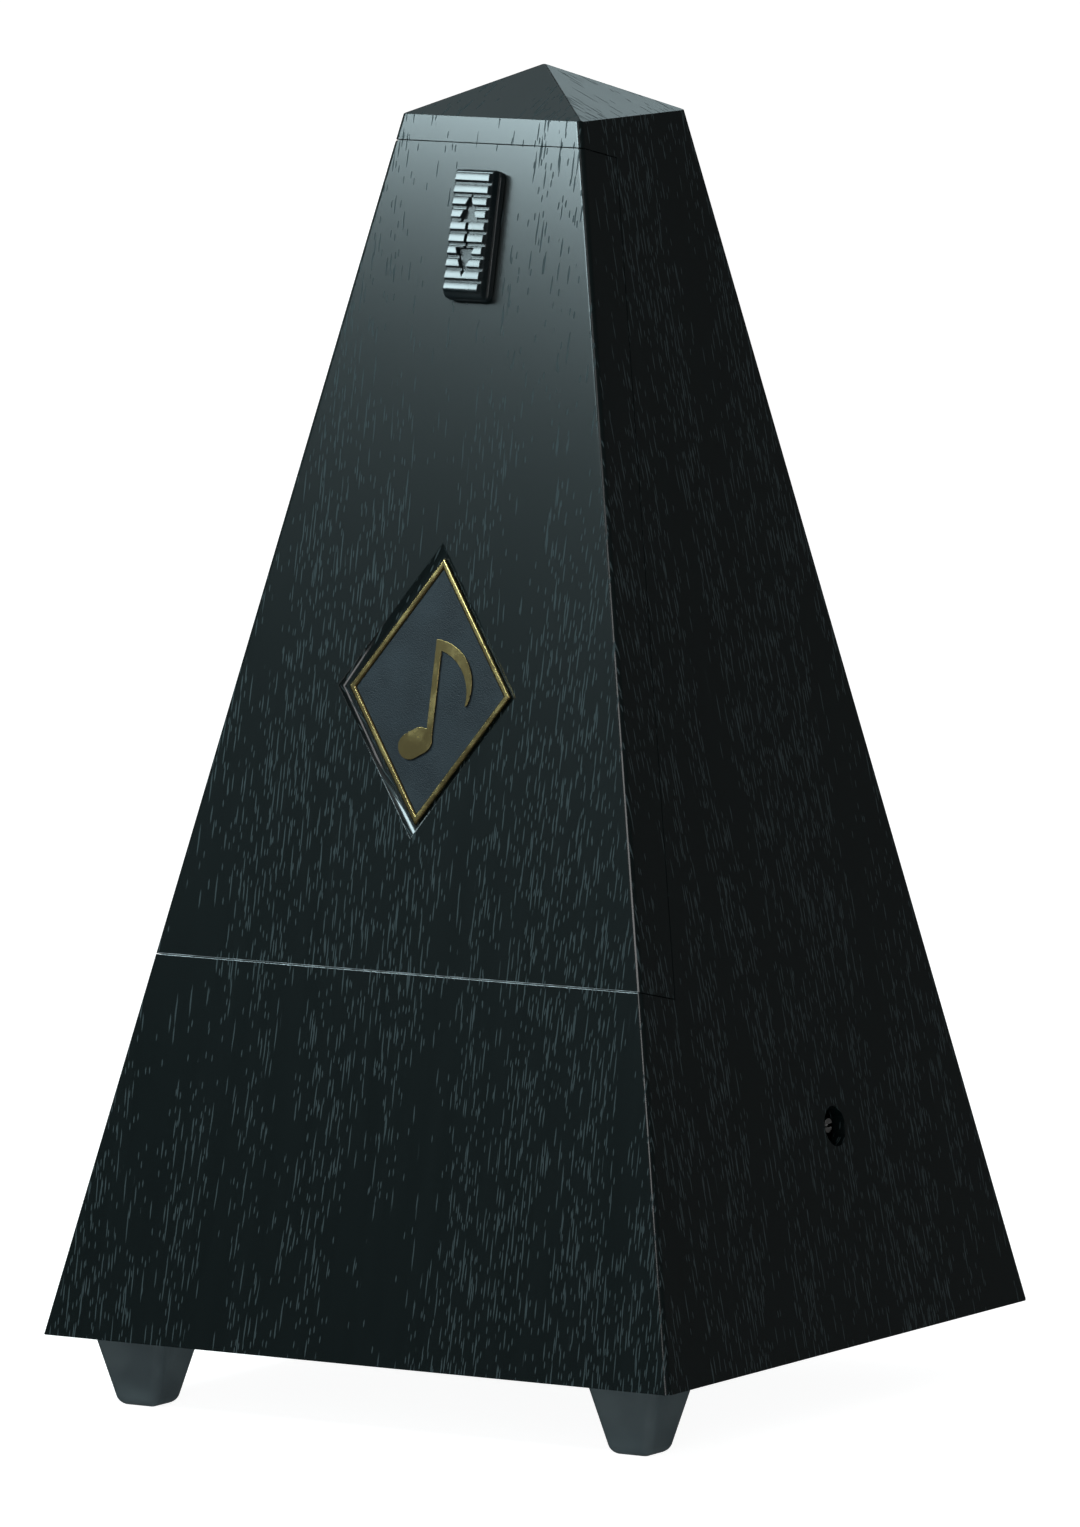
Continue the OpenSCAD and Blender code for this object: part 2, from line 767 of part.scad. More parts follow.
module tempo_weight() {
    half_low = 0.36 * weight_w;
    half_top = weight_w / 2;
    cut = 2;
    middle = pivot_s + weight_r;
    low_s = middle - weight_h / 2;
    top_s = middle + weight_h / 2;
    slot_half = rod_w / 2 + weight_gap;
    color(steel_colour) difference() {
        front_sheet(rod_d + weight_t / 2, weight_t)
            polygon([
                [-half_low, low_s], [half_low, low_s], [half_top, top_s - cut],
                [half_top - cut, top_s], [cut - half_top, top_s], [-half_top, top_s - cut]
            ]);
        on_front() translate([-slot_half, rod_d - rod_t / 2 - weight_gap, middle - weight_h])
            cube([2 * slot_half, rod_t + 2 * weight_gap, 2 * weight_h]);
        on_front() translate([-slot_half, rod_d + rod_t / 2, middle - spring_h / 2])
            cube([2 * slot_half, spring_pocket, spring_h]);
    }
}

// A bent leaf in the pocket behind the rod
module weight_spring() {
    leaf_t = 0.3;
    side_gap = 0.2;
    color(brass_colour) on_front()
        translate([side_gap - rod_w / 2, rod_d + rod_t / 2 + spring_pocket - leaf_t,
                   pivot_s + weight_r - spring_h / 2])
            cube([rod_w - 2 * side_gap, leaf_t, spring_h]);
}

// ---------- movement frame ----------

module plate_outline() {
    polygon([
        [plane_y(frame_d, plate_low), plate_low], [plate_rear, plate_low],
        [plate_rear, plate_top], [plane_y(frame_d, plate_top), plate_top]
    ]);
}

module movement_plate() {
    color(brass_colour) difference() {
        union() {
            across(plate_x, [0, 0], plate_t) plate_outline();
            for (p = mount_places)
                translate([plate_x, p[1] - mount_tab_l / 2, plate_low])
                    cube([mount_tab_w, mount_tab_l, plate_t]);
        }
        for (p = mount_places)
            translate([p[0], p[1], plate_low - eps]) cylinder(r = mount_hole_r, h = plate_t + 1);
        for (p = pillar_places)
            plate_hole(p, 1, pillar_screw_r);
        plate_hole(front_bridge_place, 1, small_screw_r);
        plate_hole(second, 1, train_r + run_gap);
    }
}

// A hole right through the plate on one side
module plate_hole(place, side, r) {
    x = side > 0 ? plate_x : -plate_x - plate_t;
    across_pin(x - eps, x + plate_t + eps, place, r);
}

module movement_plate_left() {
    color(brass_colour) difference() {
        mirror([1, 0, 0]) movement_plate();
        plate_hole(wind, -1, arbor_left_r + run_gap);
        plate_hole(escape, -1, train_r + run_gap);
        for (p = concat(escape_posts, [rear_bridge_place]))
            plate_hole(p, -1, small_screw_r);
    }
}

module movement_plate_right() {
    color(brass_colour) difference() {
        movement_plate();
        plate_hole(wind, 1, arbor_r + run_gap);
        plate_hole(click_pivot, 1, small_screw_r);
        plate_hole(click_spring_place, 1, small_screw_r);
    }
}

module pillars() {
    color(brass_colour) for (p = pillar_places)
        difference() {
            across_pin(-plate_x, plate_x, p, pillar_r);
            across_pin(-plate_x - eps, pillar_screw_l - plate_x, p, pillar_screw_r);
            across_pin(plate_x - pillar_screw_l, plate_x + eps, p, pillar_screw_r);
        }
}

module plate_screw(p, side, head_r, shank_r, shank_l) {
    x = side * (plate_x + plate_t);
    translate([x, p[0], p[1]]) rotate([0, side * 90, 0]) screw(head_r, 1.1, shank_r, shank_l);
}

module pillar_screws() {
    color(steel_colour) for (p = pillar_places)
        for (side = [-1, 1])
            plate_screw(p, side, 2.2, pillar_screw_r - screw_gap, pillar_screw_l);
}

module movement_screws() {
    color(steel_colour) mirrored_x() for (p = mount_places)
        translate([p[0], p[1], plate_low + plate_t]) screw(2.3, 1.2, pilot_r - screw_gap, 6.5);
}

module front_bridge() {
    front = front_bridge_mid - bridge_t / 2;
    color(brass_colour) difference() {
        on_front() translate([-plate_x, front, pivot_s - bridge_h / 2]) cube([plate_gap, bridge_t, bridge_h]);
        front_pin(0, pivot_s, front - eps, front + bridge_t + eps, verge_r + run_gap);
        for (side = [-1, 1])
            bridge_hole(front_bridge_place, side);
    }
}

// The tapped hole in the end of a bridge
module bridge_hole(place, side) {
    x = side > 0 ? plate_x - bridge_screw_l : -plate_x - eps;
    across_pin(x, x + bridge_screw_l + eps, place, small_screw_r);
}

module rear_bridge() {
    color(brass_colour) difference() {
        on_front() translate([-plate_x, rear_bridge_d, rear_bridge_s - bridge_h / 2])
            cube([plate_x + rear_bridge_x, bridge_t, bridge_h]);
        front_pin(0, pivot_s, rear_bridge_d - eps, rear_bridge_d + bridge_t + eps, verge_r + run_gap);
        bridge_hole(rear_bridge_place, -1);
    }
}

module escape_bridge() {
    color(brass_colour) difference() {
        union() {
            across(escape_bridge_x, [0, 0], plate_t) hull()
                for (p = concat([escape], escape_posts))
                    translate(p) circle(r = escape_bridge_r, $fn = 32);
            for (p = escape_posts)
                across_pin(-plate_x, escape_bridge_x, p, pillar_r);
        }
        across_pin(escape_bridge_x - eps, escape_bridge_x + plate_t + eps, escape, train_r + run_gap);
        for (p = escape_posts)
            bridge_hole(p, -1);
    }
}

module bridge_screws() {
    head_r = 1.9;
    shank_r = small_screw_r - screw_gap;
    color(steel_colour) {
        plate_screw(front_bridge_place, 1, head_r, shank_r, bridge_screw_l);
        for (p = concat(escape_posts, [front_bridge_place, rear_bridge_place]))
            plate_screw(p, -1, head_r, shank_r, bridge_screw_l);
    }
}

// ---------- winding ----------

module winding_arbor() {
    left_shoulder = 0.5 - plate_x;
    right_shoulder = ratchet_x + ratchet_t + 4;
    color(steel_colour) difference() {
        union() {
            across_pin(-plate_x - plate_t - arbor_end, left_shoulder, wind, arbor_left_r);
            across_pin(left_shoulder, right_shoulder, wind, arbor_r);
            across_pin(right_shoulder, tip_x - key_pin_l, wind, arbor_right_r);
            across_pin(tip_x - key_pin_l, tip_x, wind, key_pin_r);
        }
        translate([tip_x - tip_slot_deep, wind[0] - arbor_r, wind[1] - tip_slot_w / 2])
            cube([tip_slot_deep + eps, 2 * arbor_r, tip_slot_w]);
    }
}

module ratchet_wheel() {
    step = 360 / ratchet_teeth;
    tooth_deep = 1.3;
    root = ratchet_r - tooth_deep;
    color(steel_colour) across(ratchet_x, wind, ratchet_t) difference() {
        polygon([for (k = [0 : ratchet_teeth - 1])
            for (p = [[ratchet_r, 0], [root, 0.04], [(root + ratchet_r) / 2, 0.55]])
                [p[0] * cos((k + p[1]) * step), p[0] * sin((k + p[1]) * step)]]);
        circle(r = arbor_r);
    }
}

module click() {
    reach_angle = 75;
    tip = wind + (ratchet_r + 0.9) * [cos(reach_angle), sin(reach_angle)];
    boss = 2.4;
    arm_r = 1.3;
    color(steel_colour) across(ratchet_x, [0, 0], ratchet_t) difference() {
        union() {
            link(click_pivot, tip + [1.6, 1.2], arm_r);
            translate(click_pivot) circle(r = boss);
        }
        translate(click_pivot) circle(r = small_screw_r);
        translate(wind) circle(r = ratchet_r + pin_gap);
    }
}

// The click turns on a shouldered screw; a second screw holds its spring
module click_screws() {
    side_play = 0.1;
    plate_face = plate_x + plate_t;
    head_x = ratchet_x + ratchet_t + side_play;
    shank_r = small_screw_r - screw_gap;
    color(steel_colour) {
        translate([head_x, click_pivot[0], click_pivot[1]]) rotate([0, 90, 0])
            screw(2, 1, shank_r, head_x - plate_x);
        across_pin(plate_face, ratchet_x - side_play, click_pivot, click_shoulder_r);
        translate([plate_face + spring_w, click_spring_place[0], click_spring_place[1]]) rotate([0, 90, 0])
            screw(1.8, 1, shank_r, spring_w + plate_t);
    }
}

// A curved leaf from its screw to the back of the click
module click_spring() {
    eye = click_spring_place - wind;
    eye_r = 2;
    leaf_t = 0.5;
    leaf_r = norm(eye) - 0.06;
    top_turn = 34;
    low_turn = -14;
    color(brass_colour) across(plate_x + plate_t, wind, spring_w) difference() {
        union() {
            difference() {
                circle(r = leaf_r + leaf_t);
                circle(r = leaf_r);
                rotate(top_turn) translate([-2 * leaf_r, 0]) square([4 * leaf_r, 2 * leaf_r]);
                rotate(low_turn) translate([-2 * leaf_r, -2 * leaf_r]) square([4 * leaf_r, 2 * leaf_r]);
                translate([-2 * leaf_r, -2 * leaf_r]) square([2 * leaf_r, 4 * leaf_r]);
            }
            translate(eye) circle(r = eye_r);
        }
        translate(eye) circle(r = small_screw_r);
    }
}

// ---------- train ----------

module barrel() {
    inner_r = barrel_r - barrel_wall;
    color(brass_colour) difference() {
        across_pin(barrel_x, barrel_x + barrel_l, wind, barrel_r);
        across_pin(barrel_x - eps, barrel_x + barrel_l - barrel_wall, wind, inner_r);
        across_pin(barrel_x, barrel_x + barrel_l + eps, wind, arbor_r + run_gap);
        spring_hook(barrel_x + barrel_wall, barrel_l - 2 * barrel_wall);
    }
}

// The tab at the outer end of the mainspring, through a slot in the barrel wall
module spring_hook(x, w) {
    tab_t = 0.8;
    tab_in = 1;
    translate([x, wind[0] + barrel_r - barrel_wall - tab_in, wind[1]])
        cube([w, tab_in + 0.5 * barrel_wall, tab_t]);
}

module great_wheel() {
    color(brass_colour) difference() {
        across(great_x, wind, great_t) difference() {
            gear(great_teeth, great_mod, 0.8, 1.2, great_phase);
            for (k = [0 : 4])
                rotate(k * 72) translate([0.58 * great_r, 0]) circle(r = 0.2 * great_r);
        }
        across_pin(great_x - eps, great_x + great_t + eps, wind, arbor_r + run_gap);
    }
}

module barrel_cap() {
    color(brass_colour) difference() {
        across_pin(barrel_x, barrel_x + barrel_wall, wind, barrel_r - barrel_wall);
        across_pin(barrel_x - eps, barrel_x + barrel_wall + eps, wind, arbor_r + run_gap);
    }
}

// The ribbon winds outwards from just clear of the arbor to just inside the barrel wall
module mainspring() {
    turns = 7;
    per_turn = 20;
    ribbon = 0.7;
    wall_gap = 0.4;
    side_gap = 0.8;
    start_r = arbor_r + 1.2;
    pitch = (barrel_r - barrel_wall - ribbon - wall_gap - start_r) / turns;
    steps = turns * per_turn;
    function on_spiral(i, out) =
        let (a = i * 360 / per_turn, r = start_r + out + pitch * a / 360) [r * cos(a), r * sin(a)];
    inside = [for (i = [0 : steps]) on_spiral(i, 0)];
    outside = [for (i = [steps : -1 : 0]) on_spiral(i, ribbon)];
    color(spring_colour) {
        across(barrel_x + barrel_wall + side_gap, wind, barrel_l - 2 * (barrel_wall + side_gap))
            polygon(concat(inside, outside));
        spring_hook(barrel_x + barrel_wall, barrel_l - 2 * barrel_wall);
    }
}

module second_arbor() {
    color(steel_colour) {
        across_pin(-plate_x - plate_t - arbor_end, plate_x + plate_t + arbor_end, second, train_r);
        across(great_x - 0.5, second, great_t + 1)
            gear(second_leaves, great_mod, 0.9, 1.15, great_phase + 180 + 180 / second_leaves);
    }
}

module second_wheel() {
    color(brass_colour) difference() {
        across(second_x, second, second_t) difference() {
            gear(second_teeth, second_mod, 0.8, 1.2, second_phase);
            for (k = [0 : 3])
                rotate(k * 90) translate([0.55 * second_r, 0]) circle(r = 0.24 * second_r);
        }
        across_pin(second_x - eps, second_x + second_t + eps, second, train_r);
    }
}

module escape_arbor() {
    color(steel_colour) {
        across_pin(-plate_x - plate_t - arbor_end, crown_tip_x - crown_len, escape, train_r);
        across(second_x - 1, escape, second_t + 2)
            gear(escape_leaves, second_mod, 0.9, 1.15, second_phase + 180 + 180 / escape_leaves);
    }
}

module crown_wheel() {
    back_x = crown_tip_x - crown_len;
    tooth_deep = 3;
    step = 360 / crown_teeth;
    chord = 2 * crown_r * sin(step / 2);
    space = [[-tooth_deep, -0.32 * chord], [eps, -0.44 * chord], [eps, 0.36 * chord], [0, 0.36 * chord]];
    color(brass_colour) difference() {
        across_pin(back_x, crown_tip_x, escape, crown_r);
        across_pin(back_x + crown_floor, crown_tip_x + eps, escape, crown_r - crown_wall);
        across_pin(back_x - eps, back_x + 2 * crown_floor, escape, train_r);
        for (k = [0 : 3])
            translate([0, escape[0], escape[1]]) rotate([k * 90, 0, 0])
                across_pin(back_x - eps, back_x + 2 * crown_floor, [0.51 * crown_r, 0], 0.2 * crown_r);
        for (k = [0 : crown_teeth - 1])
            translate([crown_tip_x, escape[0], escape[1]]) rotate([k * step, 0, 0])
                translate([0, 0, crown_r / 2]) linear_extrude(crown_r) polygon(space);
    }
}

case_shell();
base_plate();
base_screws();
foot_front_left();
foot_front_right();
foot_rear();
scale_carrier();
carrier_screws();
tempo_scale();
scale_screws();
pendulum_clip();
front_cover();
badge_field();
badge_rim();
badge_emblem();
latch_slider();
latch_tongue();
latch_screw();
pendulum_rod();
pendulum_hub();
pendulum_bob();
verge_arbor();
verge_pallets();
tempo_weight();
weight_spring();
movement_plate_left();
movement_plate_right();
pillars();
pillar_screws();
movement_screws();
front_bridge();
rear_bridge();
escape_bridge();
bridge_screws();
winding_arbor();
ratchet_wheel();
click();
click_screws();
click_spring();
barrel();
great_wheel();
barrel_cap();
mainspring();
second_arbor();
second_wheel();
escape_arbor();
crown_wheel();
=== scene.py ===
"""Looks of a clockwork pyramid metronome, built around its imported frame."""

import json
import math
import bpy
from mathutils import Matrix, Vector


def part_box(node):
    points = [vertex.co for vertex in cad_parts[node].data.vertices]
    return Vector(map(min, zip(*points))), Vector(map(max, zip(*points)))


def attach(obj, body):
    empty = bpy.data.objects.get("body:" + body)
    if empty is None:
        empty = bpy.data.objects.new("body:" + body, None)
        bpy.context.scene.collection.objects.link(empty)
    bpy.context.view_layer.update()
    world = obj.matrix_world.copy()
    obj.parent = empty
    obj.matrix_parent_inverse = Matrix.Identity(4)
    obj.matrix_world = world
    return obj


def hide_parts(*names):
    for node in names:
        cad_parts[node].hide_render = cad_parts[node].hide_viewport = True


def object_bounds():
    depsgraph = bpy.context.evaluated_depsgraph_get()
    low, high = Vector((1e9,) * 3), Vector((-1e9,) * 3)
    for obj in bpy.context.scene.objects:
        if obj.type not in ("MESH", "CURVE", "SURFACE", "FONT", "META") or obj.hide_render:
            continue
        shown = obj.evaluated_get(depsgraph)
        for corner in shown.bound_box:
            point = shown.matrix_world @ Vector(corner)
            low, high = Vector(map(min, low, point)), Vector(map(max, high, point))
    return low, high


bl_info = {
    "name": "Pyramid Metronome",
    "version": (1, 0, 0),
    "blender": (4, 5, 0),
    "location": "View3D > Sidebar > Metronome",
    "description": "Case, cover, badge, latch, feet, pendulum and clockwork of a pyramid metronome",
    "category": "Add Mesh",
}

import bmesh
import bpy
from bpy.props import FloatProperty, FloatVectorProperty, IntProperty, PointerProperty
from mathutils import Matrix, Vector

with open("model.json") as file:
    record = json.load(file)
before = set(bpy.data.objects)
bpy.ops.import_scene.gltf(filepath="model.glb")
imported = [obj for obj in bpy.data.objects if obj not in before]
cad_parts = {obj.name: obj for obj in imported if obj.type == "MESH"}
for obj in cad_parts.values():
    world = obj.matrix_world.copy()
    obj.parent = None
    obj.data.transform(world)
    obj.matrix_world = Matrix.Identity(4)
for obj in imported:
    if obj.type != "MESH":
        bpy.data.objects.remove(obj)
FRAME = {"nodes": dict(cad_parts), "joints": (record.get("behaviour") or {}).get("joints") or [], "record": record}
CAD_LOW, CAD_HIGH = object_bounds()
MM = 0.001

# How near, or how far off, a point may be to count as on a face, a corner or an edge.
TOUCH = 0.05 * MM
SKIN = 0.6 * MM


def joint_axis(name):
    """The axis of one of the frame's joints."""
    joint = next(j for j in FRAME["joints"] if j["name"] == name)
    return Vector(joint["axis"]).normalized()


# The front face leans back: OUT is its normal and UP runs up its slope.
ACROSS = Vector((1, 0, 0))
OUT = joint_axis("cover_removal")
UP = joint_axis("latch_slide")
HALF_BASE = CAD_HIGH.x
FOOT_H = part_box("base_plate")[0].z
TOE = Vector((0, -HALF_BASE, FOOT_H))
LEAN = -OUT.z / OUT.y
ROOF_TOP = CAD_HIGH.z


def front_matrix(x, depth, rise):
    """Turns a shape drawn flat (X across, Y up, Z outwards) to lie on the front face."""
    origin = TOE + x * ACROSS - depth * OUT + rise * UP
    columns = (ACROSS, UP, OUT, origin)
    return Matrix([[c[row] for c in columns] for row in range(3)] + [[0, 0, 0, 1]])


def node_range(node, axis):
    """The lowest and highest reach of a CAD node along an axis, measured from the toe of the front face."""
    reach = [(v.co - TOE).dot(axis) for v in FRAME["nodes"][node].data.vertices]
    return min(reach), max(reach)


# ---------- mesh helpers ----------


def cad_copy(node):
    """A mended, editable copy of a CAD node's mesh, with its flat areas joined up."""
    bm = bmesh.new()
    bm.from_mesh(FRAME["nodes"][node].data)
    bmesh.ops.remove_doubles(bm, verts=bm.verts, dist=0.002 * MM)
    bmesh.ops.dissolve_limit(bm, angle_limit=math.radians(1), verts=bm.verts, edges=bm.edges)
    return bm


def round_edges(bm, width, segments, chosen, sharper_than=20, painted_highlight=0.0):
    """Rounds the edges that chosen() picks from those that turn by more than an angle."""
    least = math.radians(sharper_than)
    edges = [e for e in bm.edges if len(e.link_faces) == 2 and e.calc_face_angle() > least and chosen(e)]
    rounded = bmesh.ops.bevel(
        bm, geom=edges, offset=width, offset_type="OFFSET", segments=segments,
        profile=0.5, affect="EDGES", clamp_overlap=True, material=-1,
    )
    # Marks the new rounded faces with the strength of the painted highlight that the ebony plastic lays on them.
    if painted_highlight:
        edge_highlight = bm.faces.layers.float.get("edge_highlight") or bm.faces.layers.float.new("edge_highlight")
        for face in rounded["faces"]:
            if face.is_valid:
                face[edge_highlight] = painted_highlight


def every_edge(edge):
    """Picks every edge."""
    return True


def finish_piece(name, bm, body, nodes, material, smooth=38):
    """Makes the piece's object, gives it its material and hangs it on its CAD body."""
    mesh = bpy.data.meshes.new(name)
    bm.to_mesh(mesh)
    bm.free()
    mesh.polygons.foreach_set("use_smooth", [True] * len(mesh.polygons))
    mesh.set_sharp_from_angle(angle=math.radians(smooth))
    piece = bpy.data.objects.new(name, mesh)
    bpy.context.scene.collection.objects.link(piece)
    normals = piece.modifiers.new("face normals", "WEIGHTED_NORMAL")
    normals.keep_sharp = True
    mesh.materials.append(material)
    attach(piece, body)
    if nodes:
        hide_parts(*nodes)
    return piece


# Each wall takes its own piece of the grain, which starts at a place of its own.
GRAIN_START = {(False, False): 97, (False, True): 211, (True, False): 3 * 97, (True, True): 3 * 211}
GRAIN_RISE = 0.37


def add_grain_map(bm):
    """A map in millimetres whose V runs up each wall, so that the grain does too."""
    layer = bm.loops.layers.uv.new("grain")
    bm.normal_update()
    for face in bm.faces:
        n = face.normal
        side_wall = abs(n.x) > abs(n.y)
        start = GRAIN_START[side_wall, n.x + n.y > 0]
        flat = abs(n.z) > 0.7
        for loop in face.loops:
            p = loop.vert.co / MM
            across = p.y if side_wall else p.x
            along = (p.x if side_wall else p.y) if flat else p.z
            loop[layer].uv = (across + start, along + GRAIN_RISE * start)


# ---------- shader helpers ----------

BUMP_STRENGTH = 0.5
PORE_DEPTH = 0.04 * MM


class Sheet:
    """Adds nodes to one shader tree and joins their sockets."""

    def __init__(self, tree):
        self.tree = tree

    def add(self, kind, inputs=None, **settings):
        """Adds a node; an input's value is a number, a tuple or another node's socket."""
        node = self.tree.nodes.new(kind)
        for name, value in settings.items():
            setattr(node, name, value)
        for name, value in (inputs or {}).items():
            if isinstance(value, bpy.types.NodeSocket):
                self.tree.links.new(value, node.inputs[name])
            else:
                node.inputs[name].default_value = value
        return node

    def sum(self, operation, a, b=0.0):
        """One sum of two values."""
        return self.add("ShaderNodeMath", {0: a, 1: b}, operation=operation).outputs[0]

    def stretch(self, vector, scale, location=(0, 0, 0)):
        """A vector scaled along each axis and moved."""
        node = self.add("ShaderNodeMapping", {"Vector": vector, "Scale": scale, "Location": location})
        return node.outputs["Vector"]

    def noise(self, vector, scale=1.0, detail=2.0, roughness=0.5):
        """Smooth noise, from 0 to 1."""
        inputs = {"Vector": vector, "Scale": scale, "Detail": detail, "Roughness": roughness}
        return self.add("ShaderNodeTexNoise", inputs).outputs["Fac"]

    def ramp(self, value, low, high, to_low=0.0, to_high=1.0):
        """A smooth step from one value to another."""
        inputs = {"Value": value, "From Min": low, "From Max": high, "To Min": to_low, "To Max": to_high}
        return self.add("ShaderNodeMapRange", inputs, interpolation_type="SMOOTHSTEP").outputs["Result"]

    def mix(self, share, a, b):
        """A colour between two."""
        return self.add("ShaderNodeMix", {0: share, 6: a, 7: b}, data_type="RGBA").outputs[2]

    def bump(self, height, distance):
        """A normal bent by a height, where a height of 1 stands for the distance."""
        inputs = {"Height": height, "Distance": distance, "Strength": BUMP_STRENGTH}
        return self.add("ShaderNodeBump", inputs).outputs["Normal"]

    def object_place(self):
        """Object coordinates in millimetres."""
        vector = self.add("ShaderNodeTexCoord").outputs["Object"]
        return self.stretch(vector, (1 / MM, 1 / MM, 1 / MM))

    def group(self, tree):
        """Adds a node that holds a node group."""
        return self.add("ShaderNodeGroup", node_tree=tree)


def shade_group(name, inputs, outputs, build):
    """A shader node group, made once; build() gets its sheet and inputs and returns its outputs."""
    if name in bpy.data.node_groups:
        return bpy.data.node_groups[name]
    tree = bpy.data.node_groups.new(name, "ShaderNodeTree")
    for label, kind, default in inputs:
        socket = tree.interface.new_socket(label, in_out="INPUT", socket_type=kind)
        if default is not None:
            socket.default_value = default
    for label, kind in outputs:
        tree.interface.new_socket(label, in_out="OUTPUT", socket_type=kind)
    sheet = Sheet(tree)
    results = build(sheet, sheet.add("NodeGroupInput").outputs)
    end = sheet.add("NodeGroupOutput")
    for label, _ in outputs:
        tree.links.new(results[label], end.inputs[label])
    return tree


def pore_layer(s, place, across, along, size, chance):
    """Thin pores, one to a cell, kept where a cell's own number is under the chance.

    Across and along are the cells to a millimetre, and size is a pore's reach as a share of its cell.
    """
    grid = s.stretch(place, (across, along, 1), (3 * across, 17 * along, 0))
    cells = s.add("ShaderNodeTexVoronoi", {"Vector": grid, "Scale": 1.0, "Randomness": 1.0},
                  voronoi_dimensions="2D")
    number = s.add("ShaderNodeSeparateColor", {"Color": cells.outputs["Color"]}).outputs["Red"]
    kept = s.ramp(s.sum("SUBTRACT", number, chance), -0.02, 0.02, 1.0, 0.0)
    pore = s.ramp(cells.outputs["Distance"], 0.55 * size, size, 1.0, 0.0)
    return s.sum("MULTIPLY", pore, kept)


# Waves to a millimetre, across and along the wall, of each layer of noise in the grain.
GRAIN = {"sway": (0.022, 0.007, 1), "wobble": (0.5, 0.35, 1), "bands": (0.10, 0.011, 1),
         "regions": (0.028, 0.008, 1), "shade": (0.30, 0.02, 1), "fine": (4.0, 0.3, 1)}

# Short, middle and long pores: cells to a millimetre across and along, reach, share of the chance.
PORE_LAYERS = ((1.5, 0.26, 0.19, 0.8), (1.3, 0.10, 0.18, 1.0), (1.0, 0.045, 0.14, 1.0))


def ebony_grain():
    """Moulded ebony grain: open pores of three lengths, in swaying bands that run up the wall."""

    def build(s, given):
        place = given["Vector"]
        sway = s.sum("SUBTRACT", s.noise(s.stretch(place, GRAIN["sway"]), detail=1.0), 0.5)
        wobble = s.sum("SUBTRACT", s.noise(s.stretch(place, GRAIN["wobble"]), detail=2.0), 0.5)
        shift = s.sum("ADD", s.sum("MULTIPLY", sway, given["Sway"]), s.sum("MULTIPLY", wobble, 0.2))
        aside = s.add("ShaderNodeCombineXYZ", {"X": shift}).outputs["Vector"]
        moved = s.add("ShaderNodeVectorMath", {0: place, 1: aside}, operation="ADD").outputs["Vector"]
        bands = s.noise(s.stretch(moved, GRAIN["bands"], (7, 3, 0)), detail=2.0)
        regions = s.noise(s.stretch(moved, GRAIN["regions"], (5, 1, 0)), detail=1.0)
        dense = s.ramp(bands, 0.37, 0.59, 0.10, 0.95)
        chance = s.sum("MULTIPLY", dense, s.ramp(regions, 0.32, 0.5, 0.6, 1.0))
        short, middle, long = (pore_layer(s, moved, *layer, s.sum("MULTIPLY", chance, share))
                               for *layer, share in PORE_LAYERS)
        pores = s.sum("MAXIMUM", s.sum("MAXIMUM", short, middle), long)
        shade = s.noise(s.stretch(moved, GRAIN["shade"], (1, 9, 0)), detail=3.0)
        fine = s.noise(s.stretch(moved, GRAIN["fine"]), detail=2.0)
        return {"Pores": pores, "Shade": shade, "Fine": fine}

    return shade_group(
        "Ebony grain",
        [("Vector", "NodeSocketVector", None), ("Sway", "NodeSocketFloat", 9.0)],
        [("Pores", "NodeSocketFloat"), ("Shade", "NodeSocketFloat"), ("Fine", "NodeSocketFloat")],
        build,
    )


def moulded_skin():
    """Fine stipple and slow unevenness of a plastic or painted surface."""

    def build(s, given):
        stipple = s.noise(given["Vector"], given["Stipple"], 2.0, 0.6)
        slow = s.noise(given["Vector"], 0.12, 3.0)
        smudge = s.ramp(slow, 0.35, 0.7)
        return {"Stipple": stipple, "Smudge": smudge}

    return shade_group(
        "Moulded skin",
        [("Vector", "NodeSocketVector", None), ("Stipple", "NodeSocketFloat", 6.0)],
        [("Stipple", "NodeSocketFloat"), ("Smudge", "NodeSocketFloat")],
        build,
    )


def metal_finish():
    """Fine brushing along one way, with slow tarnish."""

    def build(s, given):
        lines = s.noise(given["Vector"], 1.0, 3.0, 0.65)
        tarnish = s.ramp(s.noise(given["Place"], 0.25, 3.0), 0.35, 0.75)
        specks = s.ramp(s.noise(given["Place"], 3.5, 2.0), 0.66, 0.74)
        return {"Lines": lines, "Tarnish": tarnish, "Specks": specks}

    return shade_group(
        "Metal finish",
        [("Vector", "NodeSocketVector", None), ("Place", "NodeSocketVector", None)],
        [("Lines", "NodeSocketFloat"), ("Tarnish", "NodeSocketFloat"), ("Specks", "NodeSocketFloat")],
        build,
    )


def new_material(name):
    """A material with its shader, and a sheet to add nodes to it."""
    material = bpy.data.materials.new(name)
    material.use_nodes = True
    sheet = Sheet(material.node_tree)
    shader = material.node_tree.nodes["Principled BSDF"]
    return material, sheet, shader


def rgba(colour):
    """A colour property as a socket wants it."""
    return (*colour, 1.0)


MADE = {}


def made_once(build):
    """Builds a material the first time it is asked for."""

    def material():
        if build.__name__ not in MADE:
            MADE[build.__name__] = build()
        return MADE[build.__name__]

    return material


def colours():
    """The colour settings."""
    return bpy.context.scene.metronome_colours


# The base of the ebony plastic hardly mirrors; the gloss is its coat's.
EBONY_BASE_GLOSS = 0.03
EBONY_COAT_ROUGHNESS = 0.185


